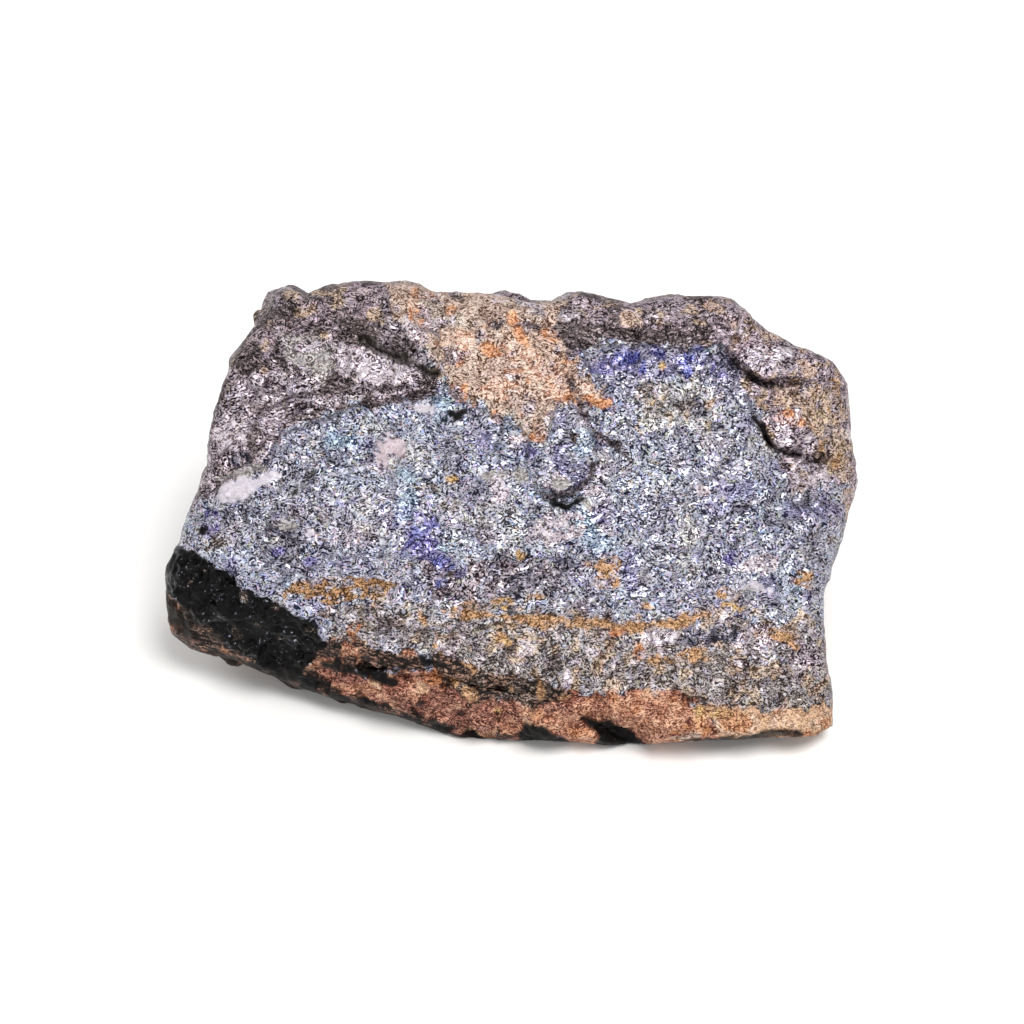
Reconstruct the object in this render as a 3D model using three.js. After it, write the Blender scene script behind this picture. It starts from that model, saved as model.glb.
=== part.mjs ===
// A hand-sized specimen of massive bornite, broken from the vein: one rough block that stands on
// its broken base and leans its broad, tarnished face back.
//
// Millimetres, +Z up, origin under the middle of the stone on the bench, broad face towards -Y.
//
// The stone is described in the frame of its broad face: s runs right along the face, t runs up
// it and n stands out of it. A contour gives the stone's edge seen square on to that face. Inside
// the contour, the face is a height n over (s, t): cleavage planes, then plates, knobs, cracks
// and pits. Behind the contour, the body is a box with rounded sides, chopped by fracture planes.
import * as THREE from 'three';

// ---------------------------------------------------------------------------------------------
// Driving dimensions
// ---------------------------------------------------------------------------------------------
const LEAN = THREE.MathUtils.degToRad(40); // how far the broad face's normal points above level
const FACE_HEIGHT = 31; // height of the broad face's middle above the bench
const FACE_FORWARD = 3; // distance of the broad face's middle in front of the stone's own middle
const BODY_DEPTH = 46; // from the plane of the contour to the back of the body, before chopping
const BODY_CENTRE_N = -14; // depth of the point that the fracture planes are measured from

const CELLS_S = 60; // mesh cells across the broad face, and again across the back
const CELLS_T = 40; // mesh cells up the broad face
const GRID_ASPECT = 58 / 39; // width of the contour over its height, for the mesh cells

const EDGE_DROP = 2; // how far the face rolls over at the contour
const EDGE_START = 0.94; // share of the way out at which it starts to roll over
const SIDE_SQUARENESS = 3.6; // exponent of the side's profile: 2 is an ellipse, more is squarer

const PLANE_BLEND = 0.9; // sharpness of the edges between the face's planes, per millimetre
const CHOP_SHARPNESS = 22; // exponent of the edges between the fracture planes

const LUMP_SIZE = 13; // wavelength of the rolling relief
const LUMP_HEIGHT = 1.1;
const FINE_LUMP_SHARE = 0.4; // height, against that, of the relief of half the wavelength
const HACKLE_SIZE = 8.5; // width of the small broken facets
const HACKLE_TILT = 0.2; // slope of a broken facet, at most
const HACKLE_STEP = 0.7; // height of a broken facet above or below its neighbours, at most
const HACKLE_CRISPNESS = 14; // sharpness of the edges between broken facets
const FACE_RELIEF = 0.6; // share of that relief on the broad face
const RIM_RELIEF = 0.15; // and on the contour, which has its own shape
const RIM_START = 0.92; // share of the way out at which the relief starts to fade

const HOLLOW_SIZE = 17; // wavelength of the shallow hollows in the base
const HOLLOW_DEPTH = 2.6;
const HOLLOW_BIAS = 0.15; // raised to leave more of the base flat
const HOLLOW_SLOPE = 0.35; // how fast a hollow may deepen from the edge of the base

const MOUND_FOOT = 1.15; // share of a knob's or pit's half widths at which it meets the face
const MOUND_TOP = 0.3; // and at which it levels off

const SEEDS = { lumps: 1, fineLumps: 2, hackle: 10, hollows: 30 };

const STONE_COLOUR = 0x8f8796;
const STONE_ROUGHNESS = 0.5;
const STONE_METALNESS = 0.45;

// ---------------------------------------------------------------------------------------------
// The stone's edge and what stands on its face, all as [s, t]
// ---------------------------------------------------------------------------------------------
const CONTOUR = [
  [58.5, 0], [60.5, 5.5], [59, 10.5], [59, 16], [58, 22.5], [55.5, 26], [49, 28.5], [44, 31],
  [41, 34], [38, 37], [31, 37.5], [25.5, 37], [20.5, 36], [17, 37], [12, 38], [7, 36], [3, 36],
  [-1.5, 37.5], [-8, 38], [-13.5, 38], [-19, 39.5], [-27.5, 40], [-32.5, 39], [-35.5, 37],
  [-38.5, 38.5], [-41.5, 37.5], [-42, 34.5], [-44.5, 31.5], [-47, 27], [-49, 23], [-50.5, 18.5],
  [-52, 11.5], [-52, 8], [-54.5, 3], [-57.5, -5], [-60.5, -9.5], [-60.5, -16], [-60, -21.5],
  [-57, -24], [-49, -26], [-41.5, -29], [-34, -32], [-28.5, -33.5], [-20.5, -35.5], [-14.5, -37.5],
  [-9.5, -39.5], [-3, -39.5], [4, -39.5], [11, -39.5], [19.5, -40], [27.5, -39.5], [33.5, -39],
  [39.5, -39], [46.5, -38.5], [52.5, -38.5], [55.5, -37], [55.5, -31.5], [54.5, -25.5], [54, -19.5],
  [54, -14.5], [55.5, -9.5], [57.5, -5],
];

// Planes that the broad face is broken into: each passes through a point [s, t, n] and falls by
// the slope towards the direction given in degrees from +s. The lowest plane is the surface.
const FACE_PLANES = [
  { name: 'main face, left', through: [8, 0, 12], slope: 0.07, towards: 200 },
  { name: 'main face, right', through: [8, 0, 12], slope: 0.1, towards: -10 },
  { name: 'dark brow, left', through: [-30, 29, 12], slope: 0.7, towards: 118 },
  { name: 'rusty shoulder', through: [-5, 20, 12.4], slope: 0.36, towards: 90 },
  { name: 'dark brow, right', through: [25, 28.5, 12], slope: 1.1, towards: 88 },
  { name: 'right flank', through: [40, 15, 11.6], slope: 0.4, towards: 37 },
  { name: 'right edge', through: [51, -15, 8], slope: 0.9, towards: 0 },
  { name: 'left edge', through: [-50, 5, 9.5], slope: 0.8, towards: 185 },
  { name: 'black corner', through: [-46, -12.5, 10.2], slope: 1.1, towards: 243 },
  { name: 'rusty foot', through: [-8, -27.5, 11.4], slope: 0.95, towards: 259 },
];

// Raised plates: the area inside the outline stands proud by the height, with an edge as wide as
// the ramp. Where a plate runs off the stone, its outline passes outside the contour.
const PLATES = [
  {
    name: 'upper terrace', height: 1.2, ramp: 2.4,
    outline: [
      [-58, 7], [-49, 9.4], [-44.6, 15.3], [-42.2, 17.9], [-37.3, 19.8], [-22.9, 21], [-17, 21.4],
      [-13.2, 23.3], [-12.5, 28], [-16, 46], [-58, 46],
    ],
  },
  {
    name: 'lower terrace', height: 1.2, ramp: 1.8,
    outline: [
      [-60, 2], [-47.2, 6.3], [-42, 8.7], [-38.9, 13.2], [-34.9, 15.1], [-29.9, 16.5],
      [-26.9, 18.4], [-21.2, 19.4], [-15.1, 19.8], [-11.6, 20.8], [-10.4, 24.7], [-12.5, 46],
      [-60, 46],
    ],
  },
  {
    name: 'lip over the green crack', height: 1.3, ramp: 1.2,
    outline: [
      [-25.4, 29.5], [-22.9, 28], [-17.9, 26], [-13.2, 24], [-11.1, 26], [-14.2, 30.7],
      [-18.6, 33.7], [-22.9, 33],
    ],
  },
  {
    name: 'rusty slab', height: 1.2, ramp: 1.8,
    outline: [
      [-22, 46], [9.4, 46], [9.4, 33.3], [11.3, 28.1], [15.8, 20.8], [13.9, 18.1], [8.3, 19.4],
      [5.4, 12.5], [1.4, 13.5], [-5.6, 17.7], [-9.9, 20.3], [-13.2, 24.3], [-17.7, 30.7],
      [-20.8, 35.1],
    ],
  },
  {
    name: 'dark brow overhang', height: 1.4, ramp: 1.6,
    outline: [
      [9, 46], [9.4, 29.9], [15.3, 28.1], [22.2, 28.3], [30, 27.1], [36.5, 28.1], [40.5, 31.6],
      [44.8, 46],
    ],
  },
  {
    name: 'upper right shingle', height: 1.4, ramp: 1.3,
    outline: [
      [38.4, 29.5], [36.6, 27.3], [38.9, 24.8], [40.8, 23.1], [42.7, 22.1], [50, 22.7],
      [55.2, 21.5], [66, 22.9], [58, 36], [40.5, 38],
    ],
  },
  {
    name: 'lower right shingle', height: 1.2, ramp: 1.4,
    outline: [
      [39.9, 19.8], [41.5, 16.2], [44.3, 11.6], [46.9, 10.6], [53.3, 8.9], [66, 7.3],
      [66, 22.9], [50, 22.4], [43.9, 21.5],
    ],
  },
  {
    name: 'centre knob', height: 1.6, ramp: 2.2,
    outline: [
      [3.1, 12.5], [5.7, 18.1], [10.1, 19.4], [13.2, 15.1], [14.1, 9.9], [13.2, 5.9],
      [11.1, 3.8], [8, 2.6], [4.9, 3.5], [3.1, 7.3],
    ],
  },
  {
    name: 'rim over the black corner', height: 1, ramp: 1.2,
    outline: [
      [-62, -6], [-55.2, -7.3], [-51.1, -9.2], [-47.1, -12], [-45.5, -14.1], [-40.1, -14.9],
      [-36.1, -17.4], [-33.5, -19.1], [-31, -22.4], [-24, -20], [-30, -8], [-50, 3], [-62, 3],
    ],
  },
];

// Knobs stand out of the face and pits sink into it: centre [s, t], half widths along and
// across the direction given in degrees, and height.
const KNOBS = [
  { name: 'rosy quartz knob', at: [-21, 10.6], half: [3.2, 2.8], turn: 70, height: 1.1 },
  { name: 'white quartz rib', at: [-45.6, 4], half: [7, 2.2], turn: 12, height: 1.1 },
  { name: 'pink knob', at: [10, -2.2], half: [6.5, 3.6], turn: -10, height: 1.1 },
  { name: 'cobble', at: [-11.8, -17.8], half: [2.6, 4.2], turn: 0, height: 1.1 },
  { name: 'brow bump', at: [-24, 38], half: [7, 3], turn: 0, height: 1.2 },
  { name: 'foot lump, middle', at: [7, -34.5], half: [6, 3.2], turn: -8, height: 2 },
  { name: 'foot lump, right', at: [29, -35.5], half: [5, 3], turn: -12, height: 2.2 },
  { name: 'foot lump, left', at: [-20, -31.5], half: [7, 2.4], turn: -14, height: 1.7 },
  { name: 'olive swell', at: [40, -27], half: [12, 6], turn: -10, height: 1.2 },
];
const PITS = [
  { name: 'notch in the foot', at: [18.5, -37.6], half: [6.5, 2.6], turn: -24, height: 4.5 },
  { name: 'hollow in the foot, left', at: [-6, -37.5], half: [4.5, 2.2], turn: -15, height: 1.8 },
  { name: 'notch, lower right', at: [41.5, -39.4], half: [6.5, 1.7], turn: 6, height: 2.4 },
  { name: 'shadow below the knob', at: [8, -8.8], half: [4, 1.7], turn: 0, height: 1 },
  { name: 'dark dip, left', at: [-39, -2.5], half: [5, 3], turn: 20, height: 0.9 },
  { name: 'dark dip, right', at: [49.5, 2], half: [6, 3], turn: -15, height: 1 },
  { name: 'hole by the quartz rib', at: [-46, 8.9], half: [1.8, 1.3], turn: -20, height: 1.2 },
];

// Cracks: polylines, each with its half width and depth.
const CRACKS = [
  {
    name: 'green crack', half: 1.3, depth: 2.2,
    line: [[-25.4, 29.3], [-22.9, 27.8], [-20.7, 26.6], [-17.9, 25.9], [-13, 23.6]],
  },
  {
    name: 'upper right crack', half: 1.1, depth: 1.9,
    line: [[35.9, 28], [38.7, 24.8], [42.5, 22.1], [45.7, 21.5], [49, 22]],
  },
  {
    name: 'lower right crack', half: 1.1, depth: 1.9,
    line: [[41.5, 16.2], [42.7, 14.2], [44.3, 11.1], [46.9, 10.4], [51.4, 9], [53.8, 9]],
  },
  {
    name: 'crack below the centre knob', half: 0.9, depth: 1.2,
    line: [[13.7, 8], [12.9, 5.2], [11.3, 3.6], [9.6, 2.6], [6.9, 2.4], [4.9, 3]],
  },
  {
    name: 'seam down from the rusty slab', half: 0.7, depth: 0.9,
    line: [[9.4, 23.6], [11.5, 18.6], [13.5, 14.6], [15.3, 12.3], [17.7, 11.5], [20.1, 8.7]],
  },
  {
    name: 'cleft in the rusty foot', half: 1.2, depth: 2,
    line: [[-26, -26.6], [-18.6, -27.3], [-12.9, -28.2], [-6.4, -29.6], [1.4, -30.4]],
  },
];

// Fracture planes of the back and sides: outward normal [s, t, n] and distance from the
// body's centre.
const FRACTURES = [
  { name: 'rear face', normal: [0.03, 0.62, -0.78], distance: 24 },
  { name: 'left side', normal: [-0.93, 0.1, -0.36], distance: 53 },
  { name: 'rear left', normal: [-0.62, 0.12, -0.78], distance: 38 },
  { name: 'right side', normal: [0.95, -0.05, -0.3], distance: 56 },
  { name: 'rear right', normal: [0.6, -0.2, -0.77], distance: 38 },
  { name: 'top left', normal: [-0.35, 0.7, -0.62], distance: 37 },
  { name: 'top right', normal: [0.25, 0.75, -0.61], distance: 33 },
  { name: 'low back', normal: [-0.12, -0.1, -0.99], distance: 27 },
  { name: 'underside, left', normal: [-0.45, -0.6, -0.66], distance: 37 },
  { name: 'underside, right', normal: [0.6, -0.45, -0.66], distance: 42 },
];

// ---------------------------------------------------------------------------------------------
// Small mathematics
// ---------------------------------------------------------------------------------------------
const fraction = (x) => x - Math.floor(x);

// A number from 0 to 1 that depends only on the lattice point and the seed.
function lattice(x, y, z, seed) {
  return fraction(Math.sin(x * 127.1 + y * 311.7 + z * 74.7 + seed * 53.3) * 43758.5453);
}

function smoothStep(low, high, x) {
  const u = THREE.MathUtils.clamp((x - low) / (high - low), 0, 1);
  return u * u * (3 - 2 * u);
}

// Smooth noise from -1 to 1 with a wavelength of one unit.
function noise(x, y, z, seed) {
  const cell = [Math.floor(x), Math.floor(y), Math.floor(z)];
  const part = [x - cell[0], y - cell[1], z - cell[2]].map((f) => f * f * (3 - 2 * f));
  let sum = 0;
  for (let corner = 0; corner < 8; corner += 1) {
    const step = [corner & 1, (corner >> 1) & 1, corner >> 2];
    const weight = step.reduce((w, side, k) => w * (side ? part[k] : 1 - part[k]), 1);
    sum += weight * lattice(cell[0] + step[0], cell[1] + step[1], cell[2] + step[2], seed);
  }
  return 2 * sum - 1;
}

// Broken facets: each of a scatter of points, one in every unit cube, carries a tilted plane
// with a height of its own, and the planes are blended by how near their points are.
function hackle(x, y, z, tilt, step, seed) {
  const cell = [Math.floor(x), Math.floor(y), Math.floor(z)];
  let total = 0;
  let height = 0;
  for (let k = 0; k < 27; k += 1) {
    const [cx, cy, cz] = [
      cell[0] + (k % 3) - 1, cell[1] + (Math.floor(k / 3) % 3) - 1, cell[2] + Math.floor(k / 9) - 1,
    ];
    const dx = x - cx - lattice(cx, cy, cz, seed);
    const dy = y - cy - lattice(cx, cy, cz, seed + 1);
    const dz = z - cz - lattice(cx, cy, cz, seed + 2);
    const weight = Math.exp(-HACKLE_CRISPNESS * (dx * dx + dy * dy + dz * dz));
    const slopes = [3, 4, 5].map((n) => 2 * lattice(cx, cy, cz, seed + n) - 1);
    const offset = 2 * lattice(cx, cy, cz, seed + 6) - 1;
    total += weight;
    height += weight * (tilt * (slopes[0] * dx + slopes[1] * dy + slopes[2] * dz) + step * offset);
  }
  return height / total;
}

function distanceToSegment(s, t, [as, at], [bs, bt]) {
  const [ds, dt] = [bs - as, bt - at];
  const share = THREE.MathUtils.clamp(((s - as) * ds + (t - at) * dt) / (ds * ds + dt * dt), 0, 1);
  return Math.hypot(s - as - share * ds, t - at - share * dt);
}

function distanceToLine(s, t, line) {
  let best = Infinity;
  for (let k = 1; k < line.length; k += 1) {
    best = Math.min(best, distanceToSegment(s, t, line[k - 1], line[k]));
  }
  return best;
}

// Distance to the outline, positive inside it.
function depthInside(s, t, outline) {
  let inside = false;
  for (let k = 0; k < outline.length; k += 1) {
    const [as, at] = outline[k];
    const [bs, bt] = outline[(k + 1) % outline.length];
    if (at > t !== bt > t && s < as + ((t - at) * (bs - as)) / (bt - at)) {
      inside = !inside;
    }
  }
  const distance = distanceToLine(s, t, [...outline, outline[0]]);
  return inside ? distance : -distance;
}

// ---------------------------------------------------------------------------------------------
// The broad face
// ---------------------------------------------------------------------------------------------
const contourByAngle = CONTOUR.map(([s, t]) => ({ angle: Math.atan2(t, s), reach: Math.hypot(s, t) }))
  .sort((a, b) => a.angle - b.angle);

// Distance from the middle of the face to the contour, in the direction of the angle.
function contourReach(angle) {
  const count = contourByAngle.length;
  const found = Math.max(0, contourByAngle.findIndex((point) => point.angle > angle));
  const next = contourByAngle[found];
  const last = contourByAngle[(found + count - 1) % count];
  const turn = 2 * Math.PI;
  const span = (next.angle - last.angle + turn) % turn;
  const share = ((angle - last.angle + turn) % turn) / span;
  return last.reach + (next.reach - last.reach) * share;
}

// The soft minimum of the face's planes.
function planesHeight(s, t) {
  let sum = 0;
  for (const { through, slope, towards } of FACE_PLANES) {
    const turn = THREE.MathUtils.degToRad(towards);
    const run = (s - through[0]) * Math.cos(turn) + (t - through[1]) * Math.sin(turn);
    sum += Math.exp(-PLANE_BLEND * (through[2] - slope * run));
  }
  return -Math.log(sum) / PLANE_BLEND;
}

// A rounded mound, 1 at its centre and 0 outside its half widths.
function mound(s, t, { at, half, turn }) {
  const angle = THREE.MathUtils.degToRad(turn);
  const along = (s - at[0]) * Math.cos(angle) + (t - at[1]) * Math.sin(angle);
  const across = (t - at[1]) * Math.cos(angle) - (s - at[0]) * Math.sin(angle);
  return smoothStep(MOUND_FOOT, MOUND_TOP, Math.hypot(along / half[0], across / half[1]));
}

function faceHeight(s, t) {
  let n = planesHeight(s, t);
  for (const { outline, height, ramp } of PLATES) {
    n += height * smoothStep(-ramp / 2, ramp / 2, depthInside(s, t, outline));
  }
  for (const knob of KNOBS) {
    n += knob.height * mound(s, t, knob);
  }
  for (const pit of PITS) {
    n -= pit.height * mound(s, t, pit);
  }
  for (const { line, half, depth } of CRACKS) {
    n -= depth * smoothStep(half, 0, distanceToLine(s, t, line));
  }
  return n;
}

// ---------------------------------------------------------------------------------------------
// The body
// ---------------------------------------------------------------------------------------------

// The chop that brings a point in to the fracture planes, along its line to the body's centre.
function chop(point) {
  const offset = point.clone();
  offset.z -= BODY_CENTRE_N;
  let sum = 1;
  for (const { normal, distance } of FRACTURES) {
    const reach = offset.dot(new THREE.Vector3(...normal).normalize()) / distance;
    sum += Math.max(0, reach) ** CHOP_SHARPNESS;
  }
  offset.multiplyScalar(sum ** (-1 / CHOP_SHARPNESS));
  offset.z += BODY_CENTRE_N;
  return offset;
}

// A point of the stone's skin: a and b run from -1 to 1 across and up the face. The front is the
// face itself. The back runs from the contour round the sides to the middle of the rear, on a
// superellipse.
function skinPoint(a, b, front) {
  const out = Math.max(Math.abs(a), Math.abs(b));
  const angle = Math.atan2(b, a * GRID_ASPECT);
  const reach = contourReach(angle);
  const [cos, sin] = [Math.cos(angle), Math.sin(angle)];
  if (front) {
    const roll = Math.max(0, (out - EDGE_START) / (1 - EDGE_START));
    const [s, t] = [out * reach * cos, out * reach * sin];
    return new THREE.Vector3(s, t, faceHeight(s, t) - EDGE_DROP * (1 - Math.sqrt(1 - roll * roll)));
  }
  const edge = faceHeight(reach * cos, reach * sin) - EDGE_DROP;
  const turn = (1 - out) * 0.5 * Math.PI;
  const size = Math.cos(turn) ** SIDE_SQUARENESS + Math.sin(turn) ** SIDE_SQUARENESS;
  const spread = (Math.cos(turn) * reach) / size ** (1 / SIDE_SQUARENESS);
  const depth = (Math.sin(turn) * (edge + BODY_DEPTH)) / size ** (1 / SIDE_SQUARENESS);
  return chop(new THREE.Vector3(spread * cos, spread * sin, edge - depth));
}

// How much of the rough relief a point of the skin gets.
function reliefShare(a, b, front) {
  const out = Math.max(Math.abs(a), Math.abs(b));
  return THREE.MathUtils.lerp(RIM_RELIEF, front ? FACE_RELIEF : 1, smoothStep(1, RIM_START, out));
}

// Two grids of skin points, front and back, that share the points on the contour.
function skinGeometry() {
  const positions = [];
  const shares = [];
  const indexOf = new Map();
  const vertex = (i, j, front) => {
    const onContour = i === 0 || j === 0 || i === CELLS_S || j === CELLS_T;
    const side = front || onContour;
    const key = `${i},${j},${side}`;
    if (!indexOf.has(key)) {
      indexOf.set(key, shares.length);
      const [a, b] = [(2 * i) / CELLS_S - 1, (2 * j) / CELLS_T - 1];
      positions.push(...skinPoint(a, b, side).toArray());
      shares.push(reliefShare(a, b, side));
    }
    return indexOf.get(key);
  };
  const corner = (k) => new THREE.Vector3().fromArray(positions, 3 * k);
  const triangles = [];
  for (const front of [true, false]) {
    for (let i = 0; i < CELLS_S; i += 1) {
      for (let j = 0; j < CELLS_T; j += 1) {
        const quad = [
          vertex(i, j, front), vertex(i + 1, j, front), vertex(i + 1, j + 1, front),
          vertex(i, j + 1, front),
        ];
        if (!front) {
          quad.reverse();
        }
        const [p, q, r, u] = quad;
        const across = corner(p).distanceTo(corner(r)) < corner(q).distanceTo(corner(u));
        triangles.push(...(across ? [p, q, r, p, r, u] : [p, q, u, q, r, u]));
      }
    }
  }
  const geometry = new THREE.BufferGeometry();
  geometry.setAttribute('position', new THREE.Float32BufferAttribute(positions, 3));
  geometry.setAttribute('relief', new THREE.Float32BufferAttribute(shares, 1));
  geometry.setIndex(triangles);
  return geometry;
}

// Rolling relief and broken facets push each point out or in along its normal.
function roughen(geometry) {
  geometry.computeVertexNormals();
  const { position, normal, relief } = geometry.attributes;
  const point = new THREE.Vector3();
  const outward = new THREE.Vector3();
  for (let k = 0; k < position.count; k += 1) {
    point.fromBufferAttribute(position, k);
    outward.fromBufferAttribute(normal, k);
    const [x, y, z] = point.toArray();
    const [lx, ly, lz] = [x / LUMP_SIZE, y / LUMP_SIZE, z / LUMP_SIZE];
    const rolling = noise(lx, ly, lz, SEEDS.lumps)
      + FINE_LUMP_SHARE * noise(2 * lx, 2 * ly, 2 * lz, SEEDS.fineLumps);
    const [hx, hy, hz] = [x / HACKLE_SIZE, y / HACKLE_SIZE, z / HACKLE_SIZE];
    const broken = hackle(hx, hy, hz, HACKLE_TILT * HACKLE_SIZE, HACKLE_STEP, SEEDS.hackle);
    point.addScaledVector(outward, relief.getX(k) * (LUMP_HEIGHT * rolling + broken));
    position.setXYZ(k, point.x, point.y, point.z);
  }
}

// From the frame of the broad face to the bench: the face leans back by the lean.
function faceToBench() {
  const s = new THREE.Vector3(1, 0, 0);
  const t = new THREE.Vector3(0, Math.sin(LEAN), Math.cos(LEAN));
  const n = new THREE.Vector3(0, -Math.cos(LEAN), Math.sin(LEAN));
  return new THREE.Matrix4().makeBasis(s, t, n).setPosition(0, -FACE_FORWARD, FACE_HEIGHT);
}

// What would lie below the bench is drawn in to it along its line to the body's centre, which
// leaves a flat base, and shallow hollows then lift parts of the base clear of the bench.
function seatOnBench(geometry) {
  const { position } = geometry.attributes;
  const centre = new THREE.Vector3(0, 0, BODY_CENTRE_N).applyMatrix4(faceToBench());
  const point = new THREE.Vector3();
  for (let k = 0; k < position.count; k += 1) {
    point.fromBufferAttribute(position, k);
    if (point.z < 0) {
      const below = -point.z;
      point.sub(centre).multiplyScalar(centre.z / (centre.z + below)).add(centre);
      const waves = noise(point.x / HOLLOW_SIZE, point.y / HOLLOW_SIZE, 0.5, SEEDS.hollows);
      const rise = waves - HOLLOW_BIAS;
      const hollow = Math.min(HOLLOW_DEPTH * rise, HOLLOW_SLOPE * below);
      position.setXYZ(k, point.x, point.y, Math.max(0, hollow));
    }
  }
}

function stone() {
  const geometry = skinGeometry();
  roughen(geometry);
  geometry.applyMatrix4(faceToBench());
  seatOnBench(geometry);
  geometry.computeVertexNormals();
  const material = new THREE.MeshStandardMaterial({
    color: STONE_COLOUR, roughness: STONE_ROUGHNESS, metalness: STONE_METALNESS,
  });
  const mesh = new THREE.Mesh(geometry, material);
  mesh.name = 'bornite_stone';
  return mesh;
}

const specimen = new THREE.Group();
specimen.name = 'bornite_specimen';
specimen.add(stone());

export default specimen;
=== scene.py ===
"""The finished look of a hand-sized specimen of massive bornite, one broken block of ore.

The stone is worked out in millimetres in the frame of its broad face: s runs right along the
face, t runs up it and n stands out of it. The same outlines, planes and relief as the CAD solid
are followed on a finer grid, small hackly relief is added, and the minerals are laid over it as
named patches. Then the stone is turned to the bench, in metres.
"""

import bpy
import numpy as np
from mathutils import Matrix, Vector


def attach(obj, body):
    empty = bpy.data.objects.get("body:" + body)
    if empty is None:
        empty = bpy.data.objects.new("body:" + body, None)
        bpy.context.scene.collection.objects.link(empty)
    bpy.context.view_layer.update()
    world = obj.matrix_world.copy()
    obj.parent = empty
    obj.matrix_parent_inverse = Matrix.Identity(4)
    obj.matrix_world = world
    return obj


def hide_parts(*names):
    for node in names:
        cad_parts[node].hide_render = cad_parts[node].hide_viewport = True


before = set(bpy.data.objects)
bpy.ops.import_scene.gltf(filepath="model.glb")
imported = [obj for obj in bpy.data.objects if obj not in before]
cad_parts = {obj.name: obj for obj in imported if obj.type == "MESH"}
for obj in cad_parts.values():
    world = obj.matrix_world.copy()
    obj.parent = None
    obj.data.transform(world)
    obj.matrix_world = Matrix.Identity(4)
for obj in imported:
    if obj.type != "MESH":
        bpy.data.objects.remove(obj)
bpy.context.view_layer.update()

# ---------- Driving dimensions, in millimetres and degrees ----------
MM = 0.001
LEAN = np.radians(40)  # how far the broad face's normal points above level
FACE_HEIGHT = 31  # height of the broad face's middle above the bench
FACE_FORWARD = 3  # distance of the broad face's middle in front of the stone's own middle
FACE_NORMAL = (0.0, -float(np.cos(LEAN)), float(np.sin(LEAN)))
BODY_DEPTH = 46  # from the plane of the contour to the back of the body, before chopping
BODY_CENTRE_N = -14  # depth of the point that the fracture planes are measured from

BACK_CELLS = (170, 115)  # mesh cells across and up the back; the front has twice as many each way
GRID_ASPECT = 58 / 39  # width of the contour over its height

EDGE_DROP = 2  # how far the face rolls over at the contour
EDGE_START = 0.94  # share of the way out at which it starts to roll over
SIDE_SQUARENESS = 3.6  # exponent of the side's profile
PLANE_BLEND = 0.9  # sharpness of the edges between the face's planes, per millimetre
MOUND_FOOT, MOUND_TOP = 1.15, 0.3  # shares of a mound's reach where it starts and where it is full
CHOP_SHARPNESS = 22  # exponent of the edges between the fracture planes

LUMP_SIZE = 13  # wavelength of the rolling relief
LUMP_HEIGHT = 1.1
HACKLE_SIZE = 8.5  # width of the large broken facets
HACKLE_TILT = 0.2  # steepest slope of a facet
HACKLE_STEP = 0.7  # most that a facet stands up or lies low
HACKLE_CRISPNESS = 14  # sharpness of the edges between facets
FACE_RELIEF = 0.6  # share of the coarse relief on the face
RIM_RELIEF = 0.15  # and at the contour
RIM_START = 0.92  # share of the way out at which it starts to fade
LEDGE_CRISPNESS = 1.8  # ledges are this many times as steep as in the coarser CAD solid
CRACK_WIDTH = 0.5  # and cracks are this share of the width in the CAD solid
WAVER = 0.5  # how far ledges and cracks wander from their lines

HOLLOW_SIZE = 17  # wavelength of the shallow hollows in the base
HOLLOW_DEPTH = 2.6
HOLLOW_BIAS = 0.15  # how far above its middle the noise is where a hollow starts
HOLLOW_SLOPE = 0.35

# ---------- The stone's edge and what stands on its face, all as (s, t) ----------
CONTOUR = [
    (58.5, 0), (60.5, 5.5), (59, 10.5), (59, 16), (58, 22.5), (55.5, 26), (49, 28.5), (44, 31), (41, 34),
    (38, 37), (31, 37.5), (25.5, 37), (20.5, 36), (17, 37), (12, 38), (7, 36), (3, 36), (-1.5, 37.5),
    (-8, 38), (-13.5, 38), (-19, 39.5), (-27.5, 40), (-32.5, 39), (-35.5, 37), (-38.5, 38.5), (-41.5, 37.5),
    (-42, 34.5), (-44.5, 31.5), (-47, 27), (-49, 23), (-50.5, 18.5), (-52, 11.5), (-52, 8), (-54.5, 3),
    (-57.5, -5), (-60.5, -9.5), (-60.5, -16), (-60, -21.5), (-57, -24), (-49, -26), (-41.5, -29),
    (-34, -32), (-28.5, -33.5), (-20.5, -35.5), (-14.5, -37.5), (-9.5, -39.5), (-3, -39.5), (4, -39.5),
    (11, -39.5), (19.5, -40), (27.5, -39.5), (33.5, -39), (39.5, -39), (46.5, -38.5), (52.5, -38.5),
    (55.5, -37), (55.5, -31.5), (54.5, -25.5), (54, -19.5), (54, -14.5), (55.5, -9.5), (57.5, -5),
]

# Planes of the broad face: a point (s, t, n), the slope, and the direction it falls in, degrees.
FACE_PLANES = [
    ((8, 0, 12), 0.07, 200), ((8, 0, 12), 0.1, -10), ((-30, 29, 12), 0.7, 118), ((-5, 20, 12.4), 0.36, 90),
    ((25, 28.5, 12), 1.1, 88), ((40, 15, 11.6), 0.4, 37), ((51, -15, 8), 0.9, 0), ((-50, 5, 9.5), 0.8, 185),
    ((-46, -12.5, 10.2), 1.1, 243), ((-8, -27.5, 11.4), 0.95, 259),
]

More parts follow.
